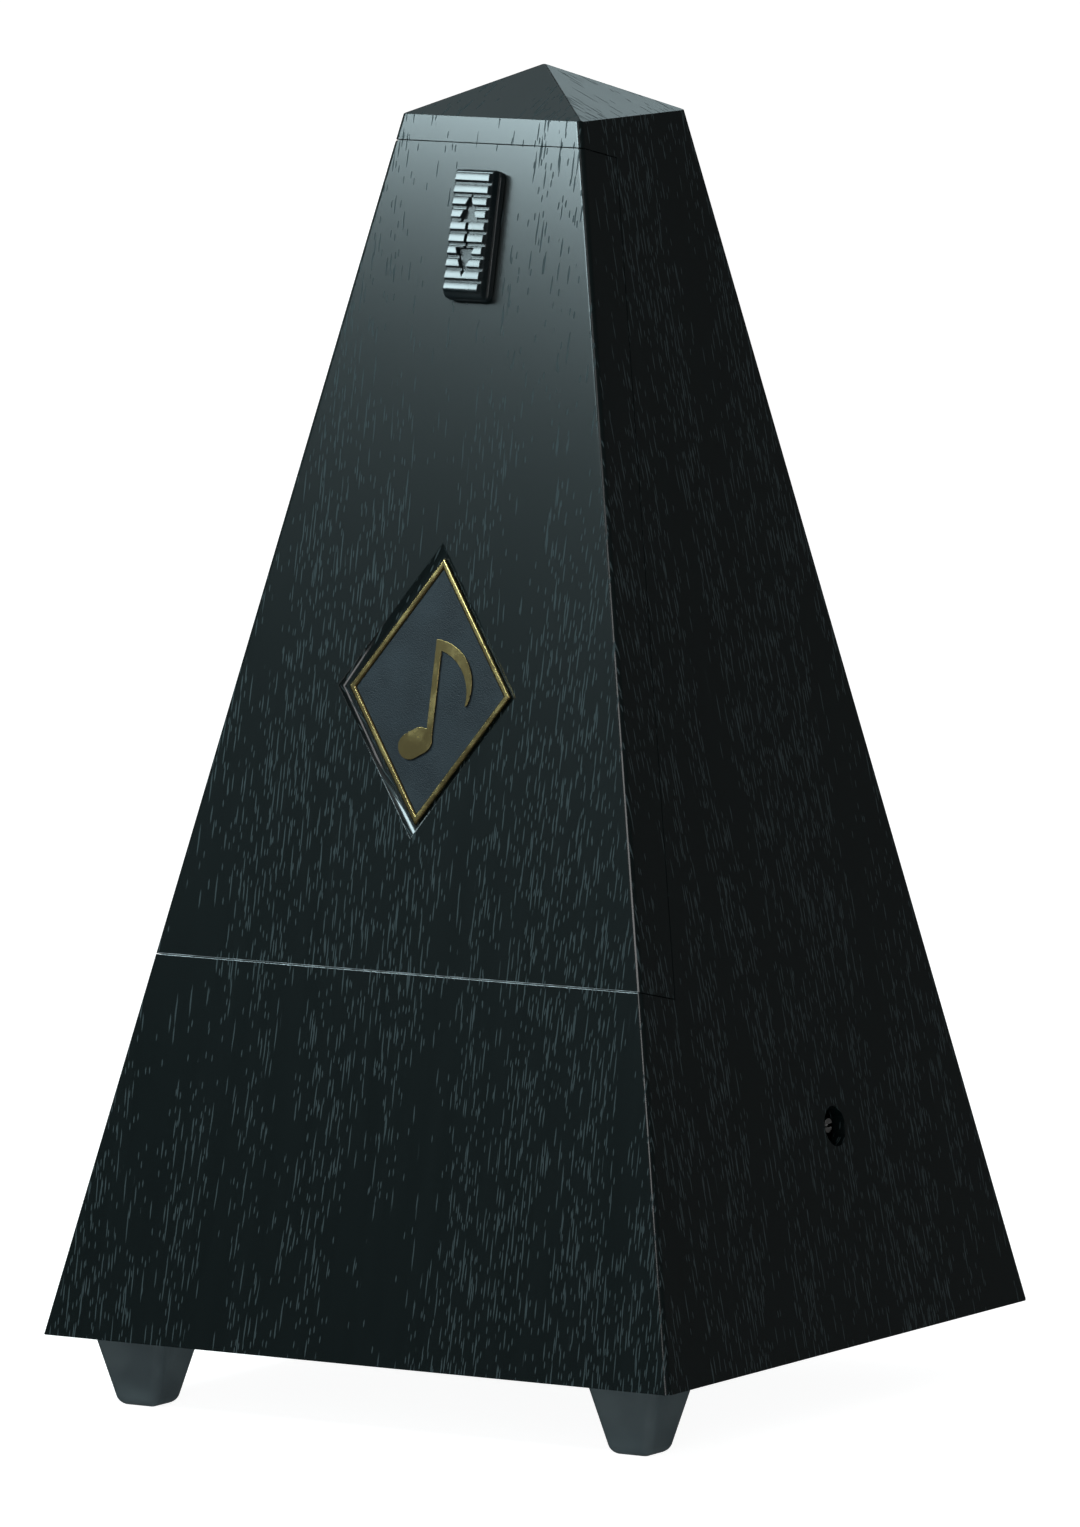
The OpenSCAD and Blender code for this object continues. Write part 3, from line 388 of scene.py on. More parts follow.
@made_once
def ebony_plastic():
    """Near-black plastic with moulded ebony grain: a glossy skin that the dull grey pores break."""
    material, s, shader = new_material("ebony_plastic")
    place = s.add("ShaderNodeUVMap", uv_map="grain").outputs["UV"]
    grain = s.group(ebony_grain())
    s.tree.links.new(place, grain.inputs["Vector"])
    pores, shade, fine = (grain.outputs[n] for n in ("Pores", "Shade", "Fine"))
    c = colours()
    ground = s.mix(shade, rgba(c.ebony_dark), rgba(c.ebony_light))
    tone = s.mix(pores, ground, rgba(c.ebony_pore))
    # Painted highlight: a pale line on the marked rounded faces along the cover's lower front edges, made patchy
    # by noise.
    edge = s.add("ShaderNodeAttribute", attribute_name="edge_highlight").outputs["Fac"]
    highlit = s.ramp(s.noise(place, 0.45, 3.0), 0.42, 0.62, 0.4, 1.0)
    edge_highlight = s.sum("MULTIPLY", edge, highlit)
    s.tree.links.new(s.mix(edge_highlight, tone, rgba(c.ebony_worn)), shader.inputs["Base Color"])
    rough = s.sum("ADD", s.ramp(shade, 0.3, 0.7, 0.42, 0.5), s.sum("MULTIPLY", pores, 0.2))
    s.tree.links.new(rough, shader.inputs["Roughness"])
    shader.inputs["Specular IOR Level"].default_value = EBONY_BASE_GLOSS
    s.tree.links.new(s.ramp(pores, 0.0, 0.8, 1.0, 0.05), shader.inputs["Coat Weight"])
    shader.inputs["Coat Roughness"].default_value = EBONY_COAT_ROUGHNESS
    deep = s.sum("SUBTRACT", s.sum("MULTIPLY", fine, 0.08), pores)
    s.tree.links.new(s.bump(deep, PORE_DEPTH), shader.inputs["Normal"])
    return material


def skin_nodes(s, stipple):
    """The moulded skin group on object coordinates."""
    node = s.group(moulded_skin())
    s.tree.links.new(s.object_place(), node.inputs["Vector"])
    node.inputs["Stipple"].default_value = stipple
    return node.outputs["Stipple"], node.outputs["Smudge"]


def plastic(name, dark, light, rough_low, rough_high, stipple, depth, gloss=0.5):
    """A moulded plastic or paint with fine stipple."""
    material, s, shader = new_material(name)
    dots, smudge = skin_nodes(s, stipple)
    s.tree.links.new(s.mix(smudge, rgba(dark), rgba(light)), shader.inputs["Base Color"])
    s.tree.links.new(s.ramp(smudge, 0.0, 1.0, rough_low, rough_high), shader.inputs["Roughness"])
    shader.inputs["Specular IOR Level"].default_value = gloss
    s.tree.links.new(s.bump(dots, depth * MM), shader.inputs["Normal"])
    return material


@made_once
def foot_plastic():
    """Dark grey satin plastic of the feet and base plate."""
    c = colours()
    return plastic("foot_plastic", c.foot_dark, c.foot_light, 0.42, 0.55, 5.0, 0.03)


@made_once
def slider_plastic():
    """Smooth dark plastic of the latch slider."""
    c = colours()
    return plastic("slider_plastic", c.slider_dark, c.slider_light, 0.22, 0.28, 7.0, 0.012)


@made_once
def carrier_plastic():
    """Matte black plastic behind the scale."""
    return plastic("carrier_plastic", (0.012, 0.012, 0.013), (0.022, 0.022, 0.024), 0.5, 0.65, 4.0, 0.06)


@made_once
def scale_paint():
    """Ivory printed background of the tempo scale."""
    return plastic("scale_paint", (0.62, 0.58, 0.46), (0.70, 0.66, 0.54), 0.35, 0.5, 5.0, 0.01)


@made_once
def print_ink():
    """Black printing ink."""
    return plastic("print_ink", (0.01, 0.01, 0.01), (0.02, 0.02, 0.02), 0.4, 0.55, 8.0, 0.005)


@made_once
def badge_enamel():
    """Fine textured blue-grey field of the badge."""
    c = colours()
    return plastic("badge_enamel", c.badge_dark, c.badge_light, 0.42, 0.5, 5.0, 0.2, 0.12)


def metal(name, bright, dull, rough_low, rough_high, ways, depth=0.004):
    """A brushed metal whose lines run along the axis with the small scale."""
    material, s, shader = new_material(name)
    node = s.group(metal_finish())
    s.tree.links.new(s.stretch(s.object_place(), ways), node.inputs["Vector"])
    s.tree.links.new(s.object_place(), node.inputs["Place"])
    lines, tarnish, specks = (node.outputs[n] for n in ("Lines", "Tarnish", "Specks"))
    tone = s.mix(tarnish, rgba(bright), rgba(dull))
    tone = s.mix(s.sum("MULTIPLY", specks, 0.35), tone, rgba([0.5 * d for d in dull]))
    s.tree.links.new(tone, shader.inputs["Base Color"])
    shader.inputs["Metallic"].default_value = 1.0
    rough = s.ramp(s.sum("ADD", s.sum("MULTIPLY", lines, 0.5), s.sum("MULTIPLY", tarnish, 0.5)),
                   0.2, 0.8, rough_low, rough_high)
    s.tree.links.new(rough, shader.inputs["Roughness"])
    s.tree.links.new(s.bump(lines, depth * MM), shader.inputs["Normal"])
    return material


@made_once
def gilt():
    """Olive gilt of the badge's rim and note."""
    c = colours()
    return metal("gilt", c.gilt_bright, c.gilt_dull, 0.2, 0.3, (1.5, 1.5, 1.5), 0.001)


@made_once
def brass():
    """Brushed brass of the movement."""
    return metal("brass", (0.76, 0.56, 0.22), (0.52, 0.36, 0.13), 0.22, 0.42, (0.3, 6, 1.2))


@made_once
def steel():
    """Bright steel of screws, arbors and the rod."""
    return metal("steel", (0.62, 0.62, 0.61), (0.42, 0.42, 0.43), 0.18, 0.36, (5, 5, 0.5))


@made_once
def blued_steel():
    """Blue tempered spring steel."""
    return metal("blued_steel", (0.10, 0.13, 0.24), (0.06, 0.08, 0.16), 0.2, 0.34, (0.4, 5, 5))


@made_once
def cast_iron():
    """Blackened cast iron of the bob."""
    return metal("cast_iron", (0.16, 0.16, 0.17), (0.09, 0.09, 0.10), 0.45, 0.62, (2.2, 2.2, 2.2), 0.06)


# ---------- settings ----------


def length_setting(name, description, default):
    """A length, shown in the scene's units."""
    return FloatProperty(name=name, description=description, default=default, min=0.0, unit="LENGTH",
                         subtype="DISTANCE", precision=5)


def colour_setting(name, description, default):
    """A linear colour."""
    return FloatVectorProperty(name=name, description=description, default=default, size=3,
                               min=0.0, max=1.0, subtype="COLOR")


class MetronomeSizes(bpy.types.PropertyGroup):
    """Rounded edges and small relief that the frame leaves to the looks."""

    corner_round: length_setting("Case corners", "Rounding of the case's upright corners", 0.9 * MM)
    seam_round: length_setting("Seams", "Rounding along the cover's seams and the eave", 0.22 * MM)
    toe_round: length_setting("Bottom edge", "Rounding along the bottom edge of the case", 0.5 * MM)
    foot_corner_round: length_setting("Foot corners", "Rounding of a foot's upright corners", 1.5 * MM)
    foot_toe_round: length_setting("Foot toes", "Rounding of a foot where it meets the ground", 3.0 * MM)
    small_round: length_setting("Small edges", "Rounding of small metal pieces", 0.18 * MM)
    rib_relief: length_setting("Rib height", "Height of the latch slider's ribs", 0.75 * MM)
    rib_pitch: length_setting("Rib pitch", "Distance from rib to rib of the latch slider", 2.0 * MM)
    slider_flange: length_setting("Slider flange", "Thickness of the plate under the ribs", 1.2 * MM)
    slider_step: length_setting("Slider step", "How far the flange stands out round the block", 0.5 * MM)


class MetronomeColours(bpy.types.PropertyGroup):
    """Colours of the finishes that show from outside."""

    ebony_dark: colour_setting("Ebony dark", "Darkest ground of the case", (0.0011, 0.0029, 0.0030))
    ebony_light: colour_setting("Ebony light", "Lightest ground of the case", (0.0021, 0.0045, 0.0047))
    ebony_pore: colour_setting("Ebony pore", "Colour in the pores of the case", (0.023, 0.032, 0.034))
    # Painted highlight: colour of the pale line along the cover's lower front edges.
    ebony_worn: colour_setting("Ebony worn", "Colour of rubbed edges of the case", (0.34, 0.40, 0.42))
    foot_dark: colour_setting("Foot dark", "Darker part of the feet", (0.025, 0.038, 0.043))
    foot_light: colour_setting("Foot light", "Lighter part of the feet", (0.033, 0.050, 0.055))
    slider_dark: colour_setting("Slider dark", "Darker part of the latch slider", (0.004, 0.007, 0.008))
    slider_light: colour_setting("Slider light", "Lighter part of the latch slider", (0.008, 0.011, 0.012))
    badge_dark: colour_setting("Badge dark", "Darker part of the badge's field", (0.007, 0.011, 0.014))
    badge_light: colour_setting("Badge light", "Lighter part of the badge's field", (0.012, 0.018, 0.022))
    gilt_bright: colour_setting("Gilt bright", "Clean gilt of the badge", (0.40, 0.30, 0.13))
    gilt_dull: colour_setting("Gilt dull", "Dull gilt of the badge", (0.28, 0.21, 0.085))


class MetronomeStage(bpy.types.PropertyGroup):
    """Camera and lights."""

    turn: FloatProperty(name="Turn", description="Camera's angle round the object", unit="ROTATION",
                        subtype="ANGLE", default=math.radians(30.754))
    raise_by: FloatProperty(name="Raise", description="Camera's angle above the horizon", unit="ROTATION",
                            subtype="ANGLE", default=math.radians(6.651))
    roll: FloatProperty(name="Roll", description="Camera's tilt to one side", unit="ROTATION",
                        subtype="ANGLE", default=math.radians(0.229))
    distance: length_setting("Distance", "Camera's distance from what it looks at", 2.35874)
    aim: FloatVectorProperty(name="Aim", description="Point that the camera looks at", size=3,
                             unit="LENGTH", subtype="TRANSLATION",
                             default=(0.29 * MM, -0.98 * MM, 103.5 * MM))
    lens: FloatProperty(name="Lens", description="Focal length on a 36 mm long side", default=340.7, min=1.0)
    key: FloatProperty(name="Key", description="Power of the light that the front face mirrors",
                       unit="POWER", default=3.5, min=0.0)
    key_colour: colour_setting("Key colour", "Colour of the key", (0.74, 0.95, 1.0))
    key_size: FloatVectorProperty(name="Key size", description="Width and height of the key", size=2,
                                  unit="LENGTH", default=(0.30, 0.17))
    key_far: length_setting("Key distance", "Distance from the top of the cover to the key", 0.42)
    key_above: length_setting("Key height", "How far the key begins above the mirror line of the top", 0.023)
    strip: FloatProperty(name="Strip", description="Power of the upright light that the corners mirror",
                         unit="POWER", default=3.2, min=0.0)
    fill: FloatProperty(name="Fill", description="Power of the wide light overhead", unit="POWER",
                        default=3.0, min=0.0)
    back: FloatProperty(name="Back", description="Power of the light behind", unit="POWER",
                        default=0.95, min=0.0)
    roof: FloatProperty(name="Roof", description="Power of the light that the roof mirrors", unit="POWER",
                        default=0.32, min=0.0)


def sizes():
    """The size settings."""
    return bpy.context.scene.metronome_sizes


# ---------- pieces ----------


class PieceOperator:
    """What every operator of this file shares."""

    bl_options = {"REGISTER", "UNDO"}

    def execute(self, context):
        self.build()
        return {"FINISHED"}


def outside_depth(point):
    """How far a point lies inside the case's outer faces."""
    wall = HALF_BASE - (point.z - FOOT_H) * LEAN - max(abs(point.x), abs(point.y))
    return wall * -OUT.y


def on_skin(edge, within=SKIN):
    """Picks edges that lie on the case's outer walls."""
    return all(outside_depth(v.co) < within for v in edge.verts)


def upright_corner(edge):
    """Picks the four long corner edges between two outer walls."""
    if not on_skin(edge, TOUCH):
        return False
    a, b = (v.co for v in edge.verts)
    return all(abs(abs(p.x) - abs(p.y)) < TOUCH for p in (a, b)) and abs(a.z - b.z) > MM


def on_roof(edge):
    """Picks the ridges of the roof."""
    return max(v.co.z for v in edge.verts) > ROOF_TOP - TOUCH


def toe_edge(edge):
    """Picks the bottom edges of the outer walls."""
    return on_skin(edge) and all(v.co.z < FOOT_H + TOUCH for v in edge.verts)


def seam_edge(edge):
    """Picks the outer edges other than those along the bottom."""
    return on_skin(edge) and not toe_edge(edge)


def rubbed_seam(edge):
    """Picks the front edges along the foot of the cover, where a pale line of painted highlight is laid."""
    low = node_range("front_cover", UP)[0]
    level = abs((edge.verts[0].co - edge.verts[1].co).normalized().dot(ACROSS)) > 0.9
    near = all(abs((v.co - TOE).dot(UP) - low) < MM for v in edge.verts)
    return on_skin(edge) and level and near


def moulded_walls(node):
    """A copy of the case or its cover with every outer edge rounded and its grain mapped."""
    bm = cad_copy(node)
    bm.faces.layers.float.new("edge_highlight")
    round_edges(bm, sizes().corner_round, 5, upright_corner)
    round_edges(bm, 1.5 * sizes().seam_round, 3, on_roof)
    round_edges(bm, sizes().toe_round, 3, toe_edge, sharper_than=40)
    # The rounded faces along the cover's foot are marked for a painted highlight.
    round_edges(bm, sizes().seam_round, 2, rubbed_seam, sharper_than=38, painted_highlight=0.8)
    round_edges(bm, sizes().seam_round, 2, seam_edge, sharper_than=38)
    add_grain_map(bm)
    return bm


class METRONOME_OT_case(PieceOperator, bpy.types.Operator):
    """Make the case shell and its base plate"""

    bl_idname = "metronome.case"
    bl_label = "Case"

    def build(self):
        bm = moulded_walls("case_shell")
        finish_piece("case_body", bm, "case", ["case_shell"], ebony_plastic())
        bm = cad_copy("base_plate")
        round_edges(bm, sizes().small_round, 2, every_edge, 50)
        finish_piece("case_floor", bm, "case", ["base_plate"], foot_plastic())


class METRONOME_OT_feet(PieceOperator, bpy.types.Operator):
    """Make the three tapered feet"""

    bl_idname = "metronome.feet"
    bl_label = "Feet"

    def build(self):
        for node in ("foot_front_left", "foot_front_right", "foot_rear"):
            bm = cad_copy(node)
            sole = FOOT_H * 0.02

            def upright(edge):
                low, high = sorted(v.co.z for v in edge.verts)
                return low < sole and high > FOOT_H - sole

            def toe(edge):
                return all(v.co.z < sole for v in edge.verts)

            round_edges(bm, sizes().foot_corner_round, 4, upright)
            round_edges(bm, sizes().foot_toe_round, 6, toe)
            finish_piece(node + "_pad", bm, "case", [node], foot_plastic())


class METRONOME_OT_cover(PieceOperator, bpy.types.Operator):
    """Make the removable front cover"""

    bl_idname = "metronome.cover"
    bl_label = "Front cover"

    def build(self):
        bm = moulded_walls("front_cover")
        finish_piece("cover_body", bm, "cover", ["front_cover"], ebony_plastic())


class METRONOME_OT_badge(PieceOperator, bpy.types.Operator):
    """Make the lozenge badge: textured field, gilt rim and a plain quaver"""

    bl_idname = "metronome.badge"
    bl_label = "Badge"

    def build(self):
        fine = sizes().small_round
        bm = cad_copy("badge_field")
        round_edges(bm, 0.3 * fine, 1, every_edge)
        finish_piece("badge_field_plate", bm, "cover", ["badge_field"], badge_enamel())
        bm = cad_copy("badge_rim")
        round_edges(bm, 1.8 * fine, 3, every_edge)
        finish_piece("badge_rim_frame", bm, "cover", ["badge_rim"], gilt())
        bm = cad_copy("badge_emblem")
        round_edges(bm, 0.6 * fine, 2, every_edge, 50)
        finish_piece("badge_note", bm, "cover", ["badge_emblem"], gilt())


def smooth_step(value, low, high):
    """A smooth step from 0 to 1."""
    t = min(max((value - low) / (high - low), 0.0), 1.0)
    return t * t * (3 - 2 * t)


def round_off(beyond, radius):
    """How far a rounded border drops, a distance beyond the line where the rounding starts."""
    share = min(max(beyond / radius, 0.0), 1.0)
    return radius * (1 - math.sqrt(1 - share ** 2))


class METRONOME_OT_latch(PieceOperator, bpy.types.Operator):
    """Make the ribbed latch slider with its double arrow"""

    bl_idname = "metronome.latch"
    bl_label = "Latch slider"

    ribs: IntProperty(name="Ribs", description="Number of grip ribs", default=10, min=4, max=14)
    rib_wide: length_setting("Rib width", "Width of a rib's sloping top", 1.2 * MM)
    lean_low: FloatProperty(name="Low lean", description="Slope of a rib's top at its crest", default=0.05)
    lean_high: FloatProperty(name="High lean", description="Slope of a rib's top at its far side",
                             default=0.3)
    arrow_base: length_setting("Arrow base", "Distance from the middle to an arrowhead's base", 2.1 * MM)
    arrow_tip: length_setting("Arrow tip", "Distance from the middle to the tip of an arrowhead", 6.6 * MM)
    arrow_half: length_setting("Arrow width", "Half the width of an arrowhead", 1.6 * MM)
    arrow_deep: length_setting("Arrow depth", "Depth of the arrowheads and their shaft", 1.1 * MM)
    shaft_half: length_setting("Arrow shaft", "Half the width of the shaft of the arrow", 0.24 * MM)
    first_rib: FloatProperty(name="First rib", description="Pitches from the block's top to the first crest",
                             default=0.92)
    rib_side: length_setting("Rib sides", "Width of the steep sides of a rib", 0.16 * MM)
    rib_end: length_setting("Rib ends", "How far a rib's ends stay inside the block", 0.45 * MM)
    top_round: length_setting("Top rounding", "Rounding of the block's top edge", 0.5 * MM)
    nose_round: length_setting("Nose rounding", "Rounding of the block's lower nose", 1.5 * MM)
    flank_round: length_setting("Flank rounding", "Rounding along the block's sides", 0.3 * MM)
    flange_corner: length_setting("Flange corners", "Rounding of the flange's corners", 1.3 * MM)
    flange_edge: length_setting("Flange edge", "Rounding of the flange's upper edge", 0.25 * MM)
    cover_gap: length_setting("Cover gap", "Gap between the flange and the cover", 0.15 * MM)
    stem_wide: length_setting("Stem width", "Width of the stem that passes through the cover", 2.7 * MM)
    stem_long: length_setting("Stem length", "Length of that stem along the cover", 8 * MM)

    def build(self):
        low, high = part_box("latch_slider")
        width = high.x - low.x
        rise_low, rise_high = node_range("latch_slider", UP)
        out_low, self.top = node_range("latch_slider", OUT)
        length = rise_high - rise_low
        step = sizes().slider_step
        self.half_w, self.half_l = width / 2 - step, length / 2 - step / 2
        self.pitch = sizes().rib_pitch
        self.first = self.half_l - self.first_rib * self.pitch
        bm = self.ribbed_block()
        join(bm, self.flange(width, length))
        join(bm, self.stem(out_low))
        bmesh.ops.recalc_face_normals(bm, faces=bm.faces)
        bmesh.ops.transform(bm, matrix=front_matrix(0, 0, (rise_low + rise_high) / 2), verts=bm.verts)
        finish_piece("latch_grip", bm, "latch", ["latch_slider"], slider_plastic(), 50)

    def stem(self, foot):
        """The stem under the flange, down to its foot."""
        head = 0.5 * MM
        bm = bmesh.new()
        bmesh.ops.create_cube(bm, size=1.0)
        bmesh.ops.scale(bm, verts=bm.verts, vec=(self.stem_wide, self.stem_long, head - foot))
        bmesh.ops.translate(bm, verts=bm.verts, vec=(0, 0, (head + foot) / 2))
        round_edges(bm, 0.1 * MM, 1, every_edge)
        return bm

    def ribbed_block(self):
        """The block with its ribs, from a fine grid that is raised and given walls."""
        skirt_foot = 0.3 * MM
        bm = bmesh.new()
        bmesh.ops.create_grid(bm, x_segments=96, y_segments=264, size=0.5)
        bmesh.ops.scale(bm, verts=bm.verts, vec=(2 * self.half_w, 2 * self.half_l, 1))
        for v in bm.verts:
            v.co.z = self.surface(v.co.x, v.co.y)
        skirt = bmesh.ops.extrude_edge_only(bm, edges=[e for e in bm.edges if e.is_boundary])
        for v in skirt["geom"]:
            if isinstance(v, bmesh.types.BMVert):
                v.co.z = skirt_foot
        bmesh.ops.holes_fill(bm, edges=[e for e in bm.edges if e.is_boundary], sides=0)
        return bm

    def flange(self, width, length):
        """The thin plate that slides on the cover."""
        thick = sizes().slider_flange
        bm = bmesh.new()
        bmesh.ops.create_cube(bm, size=1.0)
        bmesh.ops.scale(bm, verts=bm.verts, vec=(width, length, thick))
        bmesh.ops.translate(bm, verts=bm.verts, vec=(0, 0, thick / 2 + self.cover_gap))
        round_edges(bm, self.flange_corner, 6, lambda e: abs(e.verts[0].co.z - e.verts[1].co.z) > TOUCH)
        round_edges(bm, self.flange_edge, 3, lambda e: all(v.co.z > thick for v in e.verts))
        return bm

    def surface(self, x, y):
        """Height of the block's face above the cover at a place."""
        relief = sizes().rib_relief
        under_crest = 0.12
        row = min(max(math.ceil((self.first - y) / self.pitch - under_crest), 0), self.ribs - 1)
        above = y - (self.first - row * self.pitch)
        slope_run = max(above, 0)
        lean = self.lean_low + (self.lean_high - self.lean_low) * slope_run / (2 * self.rib_wide)
        side = max(smooth_step(-above, 0, self.rib_side),
                   smooth_step(above, self.rib_wide, self.rib_wide + self.rib_side))
        height = self.top - max(lean * slope_run, side * relief)
        past_end = smooth_step(abs(x), self.half_w - self.rib_end, self.half_w - self.rib_end / 3)
        height -= past_end * 0.8 * (height - self.top + relief)
        height = self.arrow(x, y, height)
        drop = round_off(y - self.half_l + self.top_round, self.top_round)
        drop += round_off(-y - self.half_l + self.nose_round, self.nose_round)
        drop += round_off(abs(x) - self.half_w + self.flank_round, self.flank_round)
        return height - drop

    def arrow(self, x, y, height):
        """Sinks the two arrowheads and the thin shaft between them, midway along the ribs.

        Square_on turns a distance across into one square to an arrowhead's slanting side.
        """
        soft = 0.06 * MM
        middle = self.first + 0.1 * self.rib_wide - (self.ribs - 1) / 2 * self.pitch
        reach = abs(y - middle)
        rise = self.arrow_tip - self.arrow_base
        half = self.arrow_half * (self.arrow_tip - reach) / rise
        square_on = 0.94
        overlap = 0.1 * MM
        inside = min((half - abs(x)) * square_on, reach - self.arrow_base)
        shaft = min(self.shaft_half - abs(x), self.arrow_base + overlap - reach)
        sunk = smooth_step(max(inside, shaft), -soft, soft)
        floor = self.top - self.arrow_deep
        return height + sunk * (min(floor, height) - height)


def join(bm, other):
    """Adds one mesh to another."""
    mesh = bpy.data.meshes.new("part")
    other.to_mesh(mesh)
    other.free()
    bm.from_mesh(mesh)
    bpy.data.meshes.remove(mesh)


BEATS = (40, 42, 44, 46, 48, 50, 52, 54, 56, 58, 60, 63, 66, 69, 72, 76, 80, 84, 88, 92, 96, 100,
         104, 108, 112, 116, 120, 126, 132, 138, 144, 152, 160, 168, 176, 184, 192, 200, 208)


class METRONOME_OT_scale(PieceOperator, bpy.types.Operator):
    """Make the carrier behind the cover and the printed tempo scale"""

    bl_idname = "metronome.scale"
    bl_label = "Tempo scale"

    margin: length_setting("Margin", "Distance from an end of the scale to the nearest line", 8 * MM)
    line_out: length_setting("Line place", "Distance from the middle to a line", 3.4 * MM)
    line_wide: length_setting("Line width", "Width of a line", 2.2 * MM)
    line_thick: length_setting("Line thickness", "Thickness of a line along the scale", 0.28 * MM)
    number_out: length_setting("Number place", "Distance from the middle to a number", 6.6 * MM)
    number_size: length_setting("Number size", "Height of the numbers' type", 3.1 * MM)
    ink: length_setting("Ink", "Height of the printing over the scale", 0.02 * MM)

    def build(self):
        bm = cad_copy("scale_carrier")
        round_edges(bm, sizes().small_round, 2, every_edge, 60)
        finish_piece("carrier_board", bm, "case", ["scale_carrier"], carrier_plastic())
        bm = cad_copy("tempo_scale")
        round_edges(bm, 0.5 * sizes().small_round, 2, every_edge, 60)
        finish_piece("scale_plate", bm, "case", ["tempo_scale"], scale_paint())
        low, high = node_range("tempo_scale", UP)
        face = -node_range("tempo_scale", OUT)[1]
        bm = bmesh.new()
        step = (high - low - 2 * self.margin) / (len(BEATS) - 1)
        for i, beats in enumerate(BEATS):
            rise = high - self.margin - i * step
            side = -1 if i % 2 else 1
            self.mark(bm, side * self.line_out, rise, face)
            self.number(bm, str(beats), side * self.number_out, rise, face)
        finish_piece("scale_print", bm, "case", [], print_ink())

    def mark(self, bm, x, rise, face):
        """One short line of the scale."""
        line = bmesh.new()
        bmesh.ops.create_cube(line, size=1.0)
        bmesh.ops.scale(line, verts=line.verts, vec=(self.line_wide, self.line_thick, 2 * self.ink))
        bmesh.ops.transform(line, matrix=front_matrix(x, face, rise), verts=line.verts)
        join(bm, line)

    def number(self, bm, words, x, rise, face):
        """One printed number."""
        curve = bpy.data.curves.new("number", "FONT")
        curve.body = words
        curve.size = self.number_size
        curve.align_x = "CENTER"
        curve.align_y = "CENTER"
        curve.extrude = self.ink
        curve.resolution_u = 2
        text = bpy.data.objects.new("number", curve)
        bpy.context.scene.collection.objects.link(text)
        mesh = bpy.data.meshes.new_from_object(text.evaluated_get(bpy.context.evaluated_depsgraph_get()))
        mesh.transform(front_matrix(x, face, rise))
        bm.from_mesh(mesh)
        bpy.data.objects.remove(text)
        bpy.data.curves.remove(curve)
        bpy.data.meshes.remove(mesh)


class METRONOME_OT_pendulum(PieceOperator, bpy.types.Operator):
    """Make the rod, its tempo weight and the bob"""

    bl_idname = "metronome.pendulum"
    bl_label = "Pendulum"

    def build(self):
        fine = sizes().small_round
        bm = cad_copy("pendulum_rod")
        round_edges(bm, 0.6 * fine, 2, every_edge, 50)
        finish_piece("pendulum_strip", bm, "pendulum", ["pendulum_rod"], steel())
        bm = cad_copy("tempo_weight")
        round_edges(bm, 2 * fine, 3, every_edge, 25)
        finish_piece("sliding_weight", bm, "tempo_weight", ["tempo_weight"], steel())
        bm = cad_copy("pendulum_hub")
        round_edges(bm, fine, 2, every_edge, 60)
        finish_piece("pendulum_boss", bm, "pendulum", ["pendulum_hub"], brass())
        bm = cad_copy("pendulum_bob")
        round_edges(bm, 1.5 * fine, 3, every_edge, 35)
        finish_piece("pendulum_disc", bm, "pendulum", ["pendulum_bob"], cast_iron())


SLOT_FINISH = {"steel": steel, "brass": brass, "blued_steel": blued_steel, "cast_iron": cast_iron,
               "badge_gilt": gilt, "badge_enamel": badge_enamel, "foot_plastic": foot_plastic,
               "ebony_plastic": ebony_plastic, "slider_plastic": slider_plastic,
               "carrier_plastic": carrier_plastic, "scale_metal": scale_paint}


class METRONOME_OT_clockwork(PieceOperator, bpy.types.Operator):
    """Give the movement and the fasteners their metals, with rounded plates and bridges"""

    bl_idname = "metronome.clockwork"
    bl_label = "Clockwork"

    def build(self):
        slots = {p["node"]: p["material_slot"] for p in FRAME["record"]["subparts"]}
        for node, thing in FRAME["nodes"].items():
            material = SLOT_FINISH[slots[node]]()
            thing.data.materials.clear()
            thing.data.materials.append(material)
        for node in ("movement_plate_left", "movement_plate_right", "front_bridge", "rear_bridge",
                     "escape_bridge", "barrel", "pillars"):
            bm = cad_copy(node)
            round_edges(bm, 0.8 * sizes().small_round, 2, every_edge, 60)
            finish_piece(node + "_brass", bm, self.body_of(node), [node], brass())
        bm = cad_copy("winding_arbor")
        round_edges(bm, 2 * sizes().small_round, 3, every_edge, 60)
        finish_piece("winding_spindle", bm, self.body_of("winding_arbor"), ["winding_arbor"],
                     steel())

    def body_of(self, node):
        """The body that a node belongs to."""
        bodies = FRAME["record"]["behaviour"]["bodies"]
        return next(name for name, nodes in bodies.items() if node in nodes)


# Width and height of each light, and its place, in metres.
STRIP_LIGHT = ((0.30, 0.75), (0.45, -1.15, 0.35))
FILL_LIGHT = ((1.6, 1.6), (0.3, -0.6, 1.7))
BACK_LIGHT = ((0.8, 0.4), (-0.35, 1.25, 0.75))
ROOF_LIGHT = ((0.5, 0.5), (-0.42, 0.38, 0.85))
FLOOR_RADIUS = 6.0
FLOOR_GREY = (0.4, 0.4, 0.4, 1)
FLOOR_GLOW = 0.93
# How much of the white world each kind of ray misses.
WORLD_DIMMED = {"Is Glossy Ray": 0.95, "Is Diffuse Ray": 0.7}


def soft_light(name, power, size, place, target, colour=(1, 1, 1)):
    """A rectangular light that faces a point."""
    data = bpy.data.lights.new(name, "AREA")
    data.shape = "RECTANGLE"
    data.size, data.size_y = size
    data.energy = power
    data.color = colour
    lamp = bpy.data.objects.new(name, data)
    bpy.context.scene.collection.objects.link(lamp)
    lamp.location = place
    lamp.rotation_euler = (Vector(target) - Vector(place)).to_track_quat("-Z", "Y").to_euler()


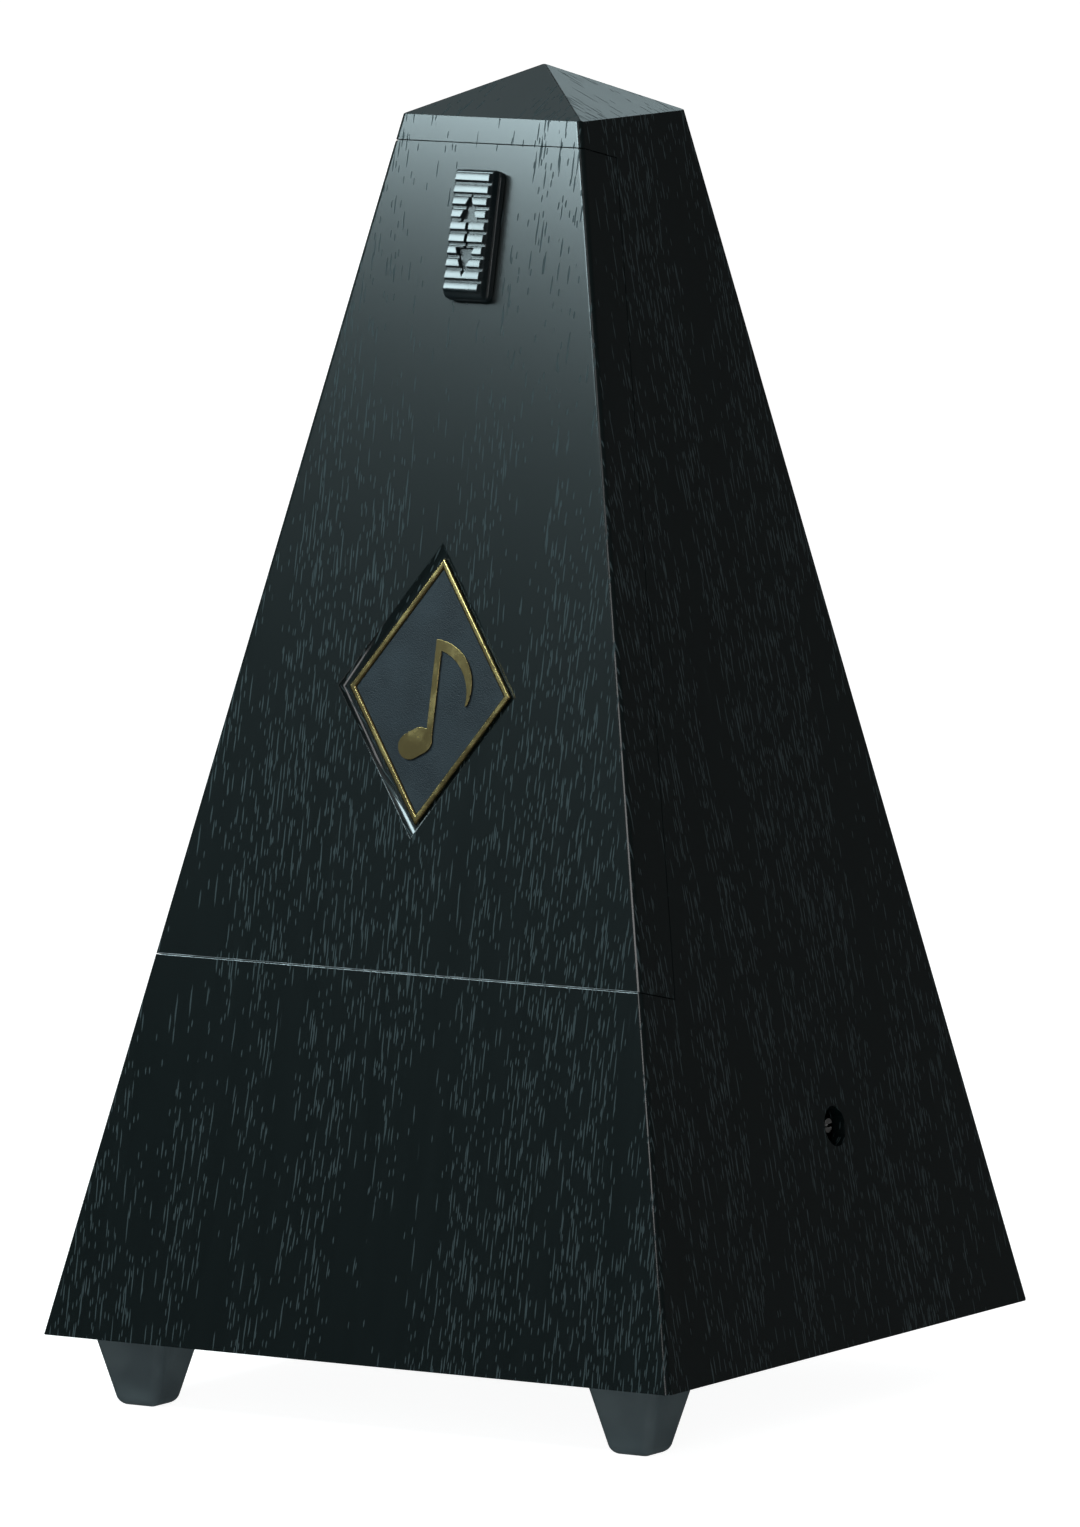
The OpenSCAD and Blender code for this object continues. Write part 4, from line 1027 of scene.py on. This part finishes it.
class METRONOME_OT_stage(PieceOperator, bpy.types.Operator):
    """Make the pale floor, the soft lights and the camera"""

    bl_idname = "metronome.stage"
    bl_label = "Stage"

    def build(self):
        self.floor()
        self.surroundings()
        self.lights()
        self.camera()

    def floor(self):
        """A plain pale floor under the feet, which glows a little to stay white."""
        bm = bmesh.new()
        bmesh.ops.create_circle(bm, cap_ends=True, radius=FLOOR_RADIUS, segments=64)
        mesh = bpy.data.meshes.new("floor")
        bm.to_mesh(mesh)
        bm.free()
        ground = bpy.data.objects.new("floor", mesh)
        bpy.context.scene.collection.objects.link(ground)
        material, _, shader = new_material("floor_paper")
        shader.inputs["Base Color"].default_value = FLOOR_GREY
        shader.inputs["Roughness"].default_value = 0.9
        shader.inputs["Emission Color"].default_value = (1, 1, 1, 1)
        shader.inputs["Emission Strength"].default_value = FLOOR_GLOW
        mesh.materials.append(material)
        ground.visible_glossy = False

    def surroundings(self):
        """White to look at, but dim in what it adds to the light."""
        world = bpy.data.worlds.new("studio")
        bpy.context.scene.world = world
        world.use_nodes = True
        s = Sheet(world.node_tree)
        path = s.add("ShaderNodeLightPath")
        background = world.node_tree.nodes["Background"]
        background.inputs["Color"].default_value = (1, 1, 1, 1)
        glossy, diffuse = (s.sum("MULTIPLY", path.outputs[ray], share)
                           for ray, share in WORLD_DIMMED.items())
        strength = s.sum("SUBTRACT", 1.0, s.sum("ADD", glossy, diffuse))
        world.node_tree.links.new(strength, background.inputs["Strength"])
        bpy.context.scene.view_settings.view_transform = "Standard"

    def lights(self):
        """The key stands where the top of the front face mirrors it; the others are weaker."""
        stage = bpy.context.scene.metronome_stage
        back = camera_back(stage)
        middle = Vector((0, 0, 0.5 * (CAD_LOW.z + CAD_HIGH.z)))
        top = TOE + node_range("front_cover", UP)[1] * UP
        mirror_way = 2 * back.dot(OUT) * OUT - back
        rise = (Vector((0, 0, 1)) - mirror_way.z * mirror_way).normalized()
        key_place = top + stage.key_far * mirror_way + (stage.key_size[1] / 2 + stage.key_above) * rise
        soft_light("key", stage.key, stage.key_size, key_place, key_place - mirror_way, stage.key_colour)
        head = middle + Vector((0, 0, 0.1))
        soft_light("strip", stage.strip, *STRIP_LIGHT, middle)
        soft_light("fill", stage.fill, *FILL_LIGHT, middle)
        soft_light("back", stage.back, *BACK_LIGHT, head, stage.key_colour)
        soft_light("roof", stage.roof, *ROOF_LIGHT, head, stage.key_colour)

    def camera(self):
        """The camera, from its angles, distance and aim."""
        stage = bpy.context.scene.metronome_stage
        back = camera_back(stage)
        right = Vector((math.cos(stage.turn), math.sin(stage.turn), 0))
        up = back.cross(right)
        tilt = Matrix.Rotation(stage.roll, 3, back)
        right, up = tilt @ right, tilt @ up
        data = bpy.data.cameras.new("camera")
        data.lens = stage.lens
        data.sensor_width = 36.0
        data.clip_start, data.clip_end = 0.05, 50.0
        camera = bpy.data.objects.new("camera", data)
        bpy.context.scene.collection.objects.link(camera)
        turn = Matrix([[right[i], up[i], back[i]] for i in range(3)]).to_4x4()
        camera.matrix_world = Matrix.Translation(Vector(stage.aim) + stage.distance * back) @ turn
        bpy.context.scene.camera = camera


def camera_back(stage):
    """The way from the object to the camera."""
    return Vector((math.sin(stage.turn) * math.cos(stage.raise_by),
                   -math.cos(stage.turn) * math.cos(stage.raise_by), math.sin(stage.raise_by)))


STEPS = (METRONOME_OT_case, METRONOME_OT_feet, METRONOME_OT_cover, METRONOME_OT_badge, METRONOME_OT_latch,
         METRONOME_OT_scale, METRONOME_OT_pendulum, METRONOME_OT_clockwork, METRONOME_OT_stage)


class METRONOME_PT_panel(bpy.types.Panel):
    """Lists the metronome's pieces and settings"""

    bl_label = "Metronome"
    bl_idname = "METRONOME_PT_panel"
    bl_space_type = "VIEW_3D"
    bl_region_type = "UI"
    bl_category = "Metronome"

    def draw(self, context):
        for step in STEPS:
            self.layout.operator(step.bl_idname)
        for group in (context.scene.metronome_sizes, context.scene.metronome_colours,
                      context.scene.metronome_stage):
            box = self.layout.box()
            for name in group.bl_rna.properties.keys():
                if name not in ("rna_type", "name"):
                    box.prop(group, name)


CLASSES = (MetronomeSizes, MetronomeColours, MetronomeStage, *STEPS, METRONOME_PT_panel)


def register():
    """Adds the classes and the scene's settings."""
    for cls in CLASSES:
        bpy.utils.register_class(cls)
    bpy.types.Scene.metronome_sizes = PointerProperty(type=MetronomeSizes)
    bpy.types.Scene.metronome_colours = PointerProperty(type=MetronomeColours)
    bpy.types.Scene.metronome_stage = PointerProperty(type=MetronomeStage)


def unregister():
    """Takes them away again."""
    del bpy.types.Scene.metronome_stage
    del bpy.types.Scene.metronome_colours
    del bpy.types.Scene.metronome_sizes
    for cls in reversed(CLASSES):
        bpy.utils.unregister_class(cls)


def main():
    """Makes every piece in order."""
    register()
    for step in STEPS:
        group, name = step.bl_idname.split(".")
        getattr(getattr(bpy.ops, group), name)()


if __name__ == "__main__":
    main()
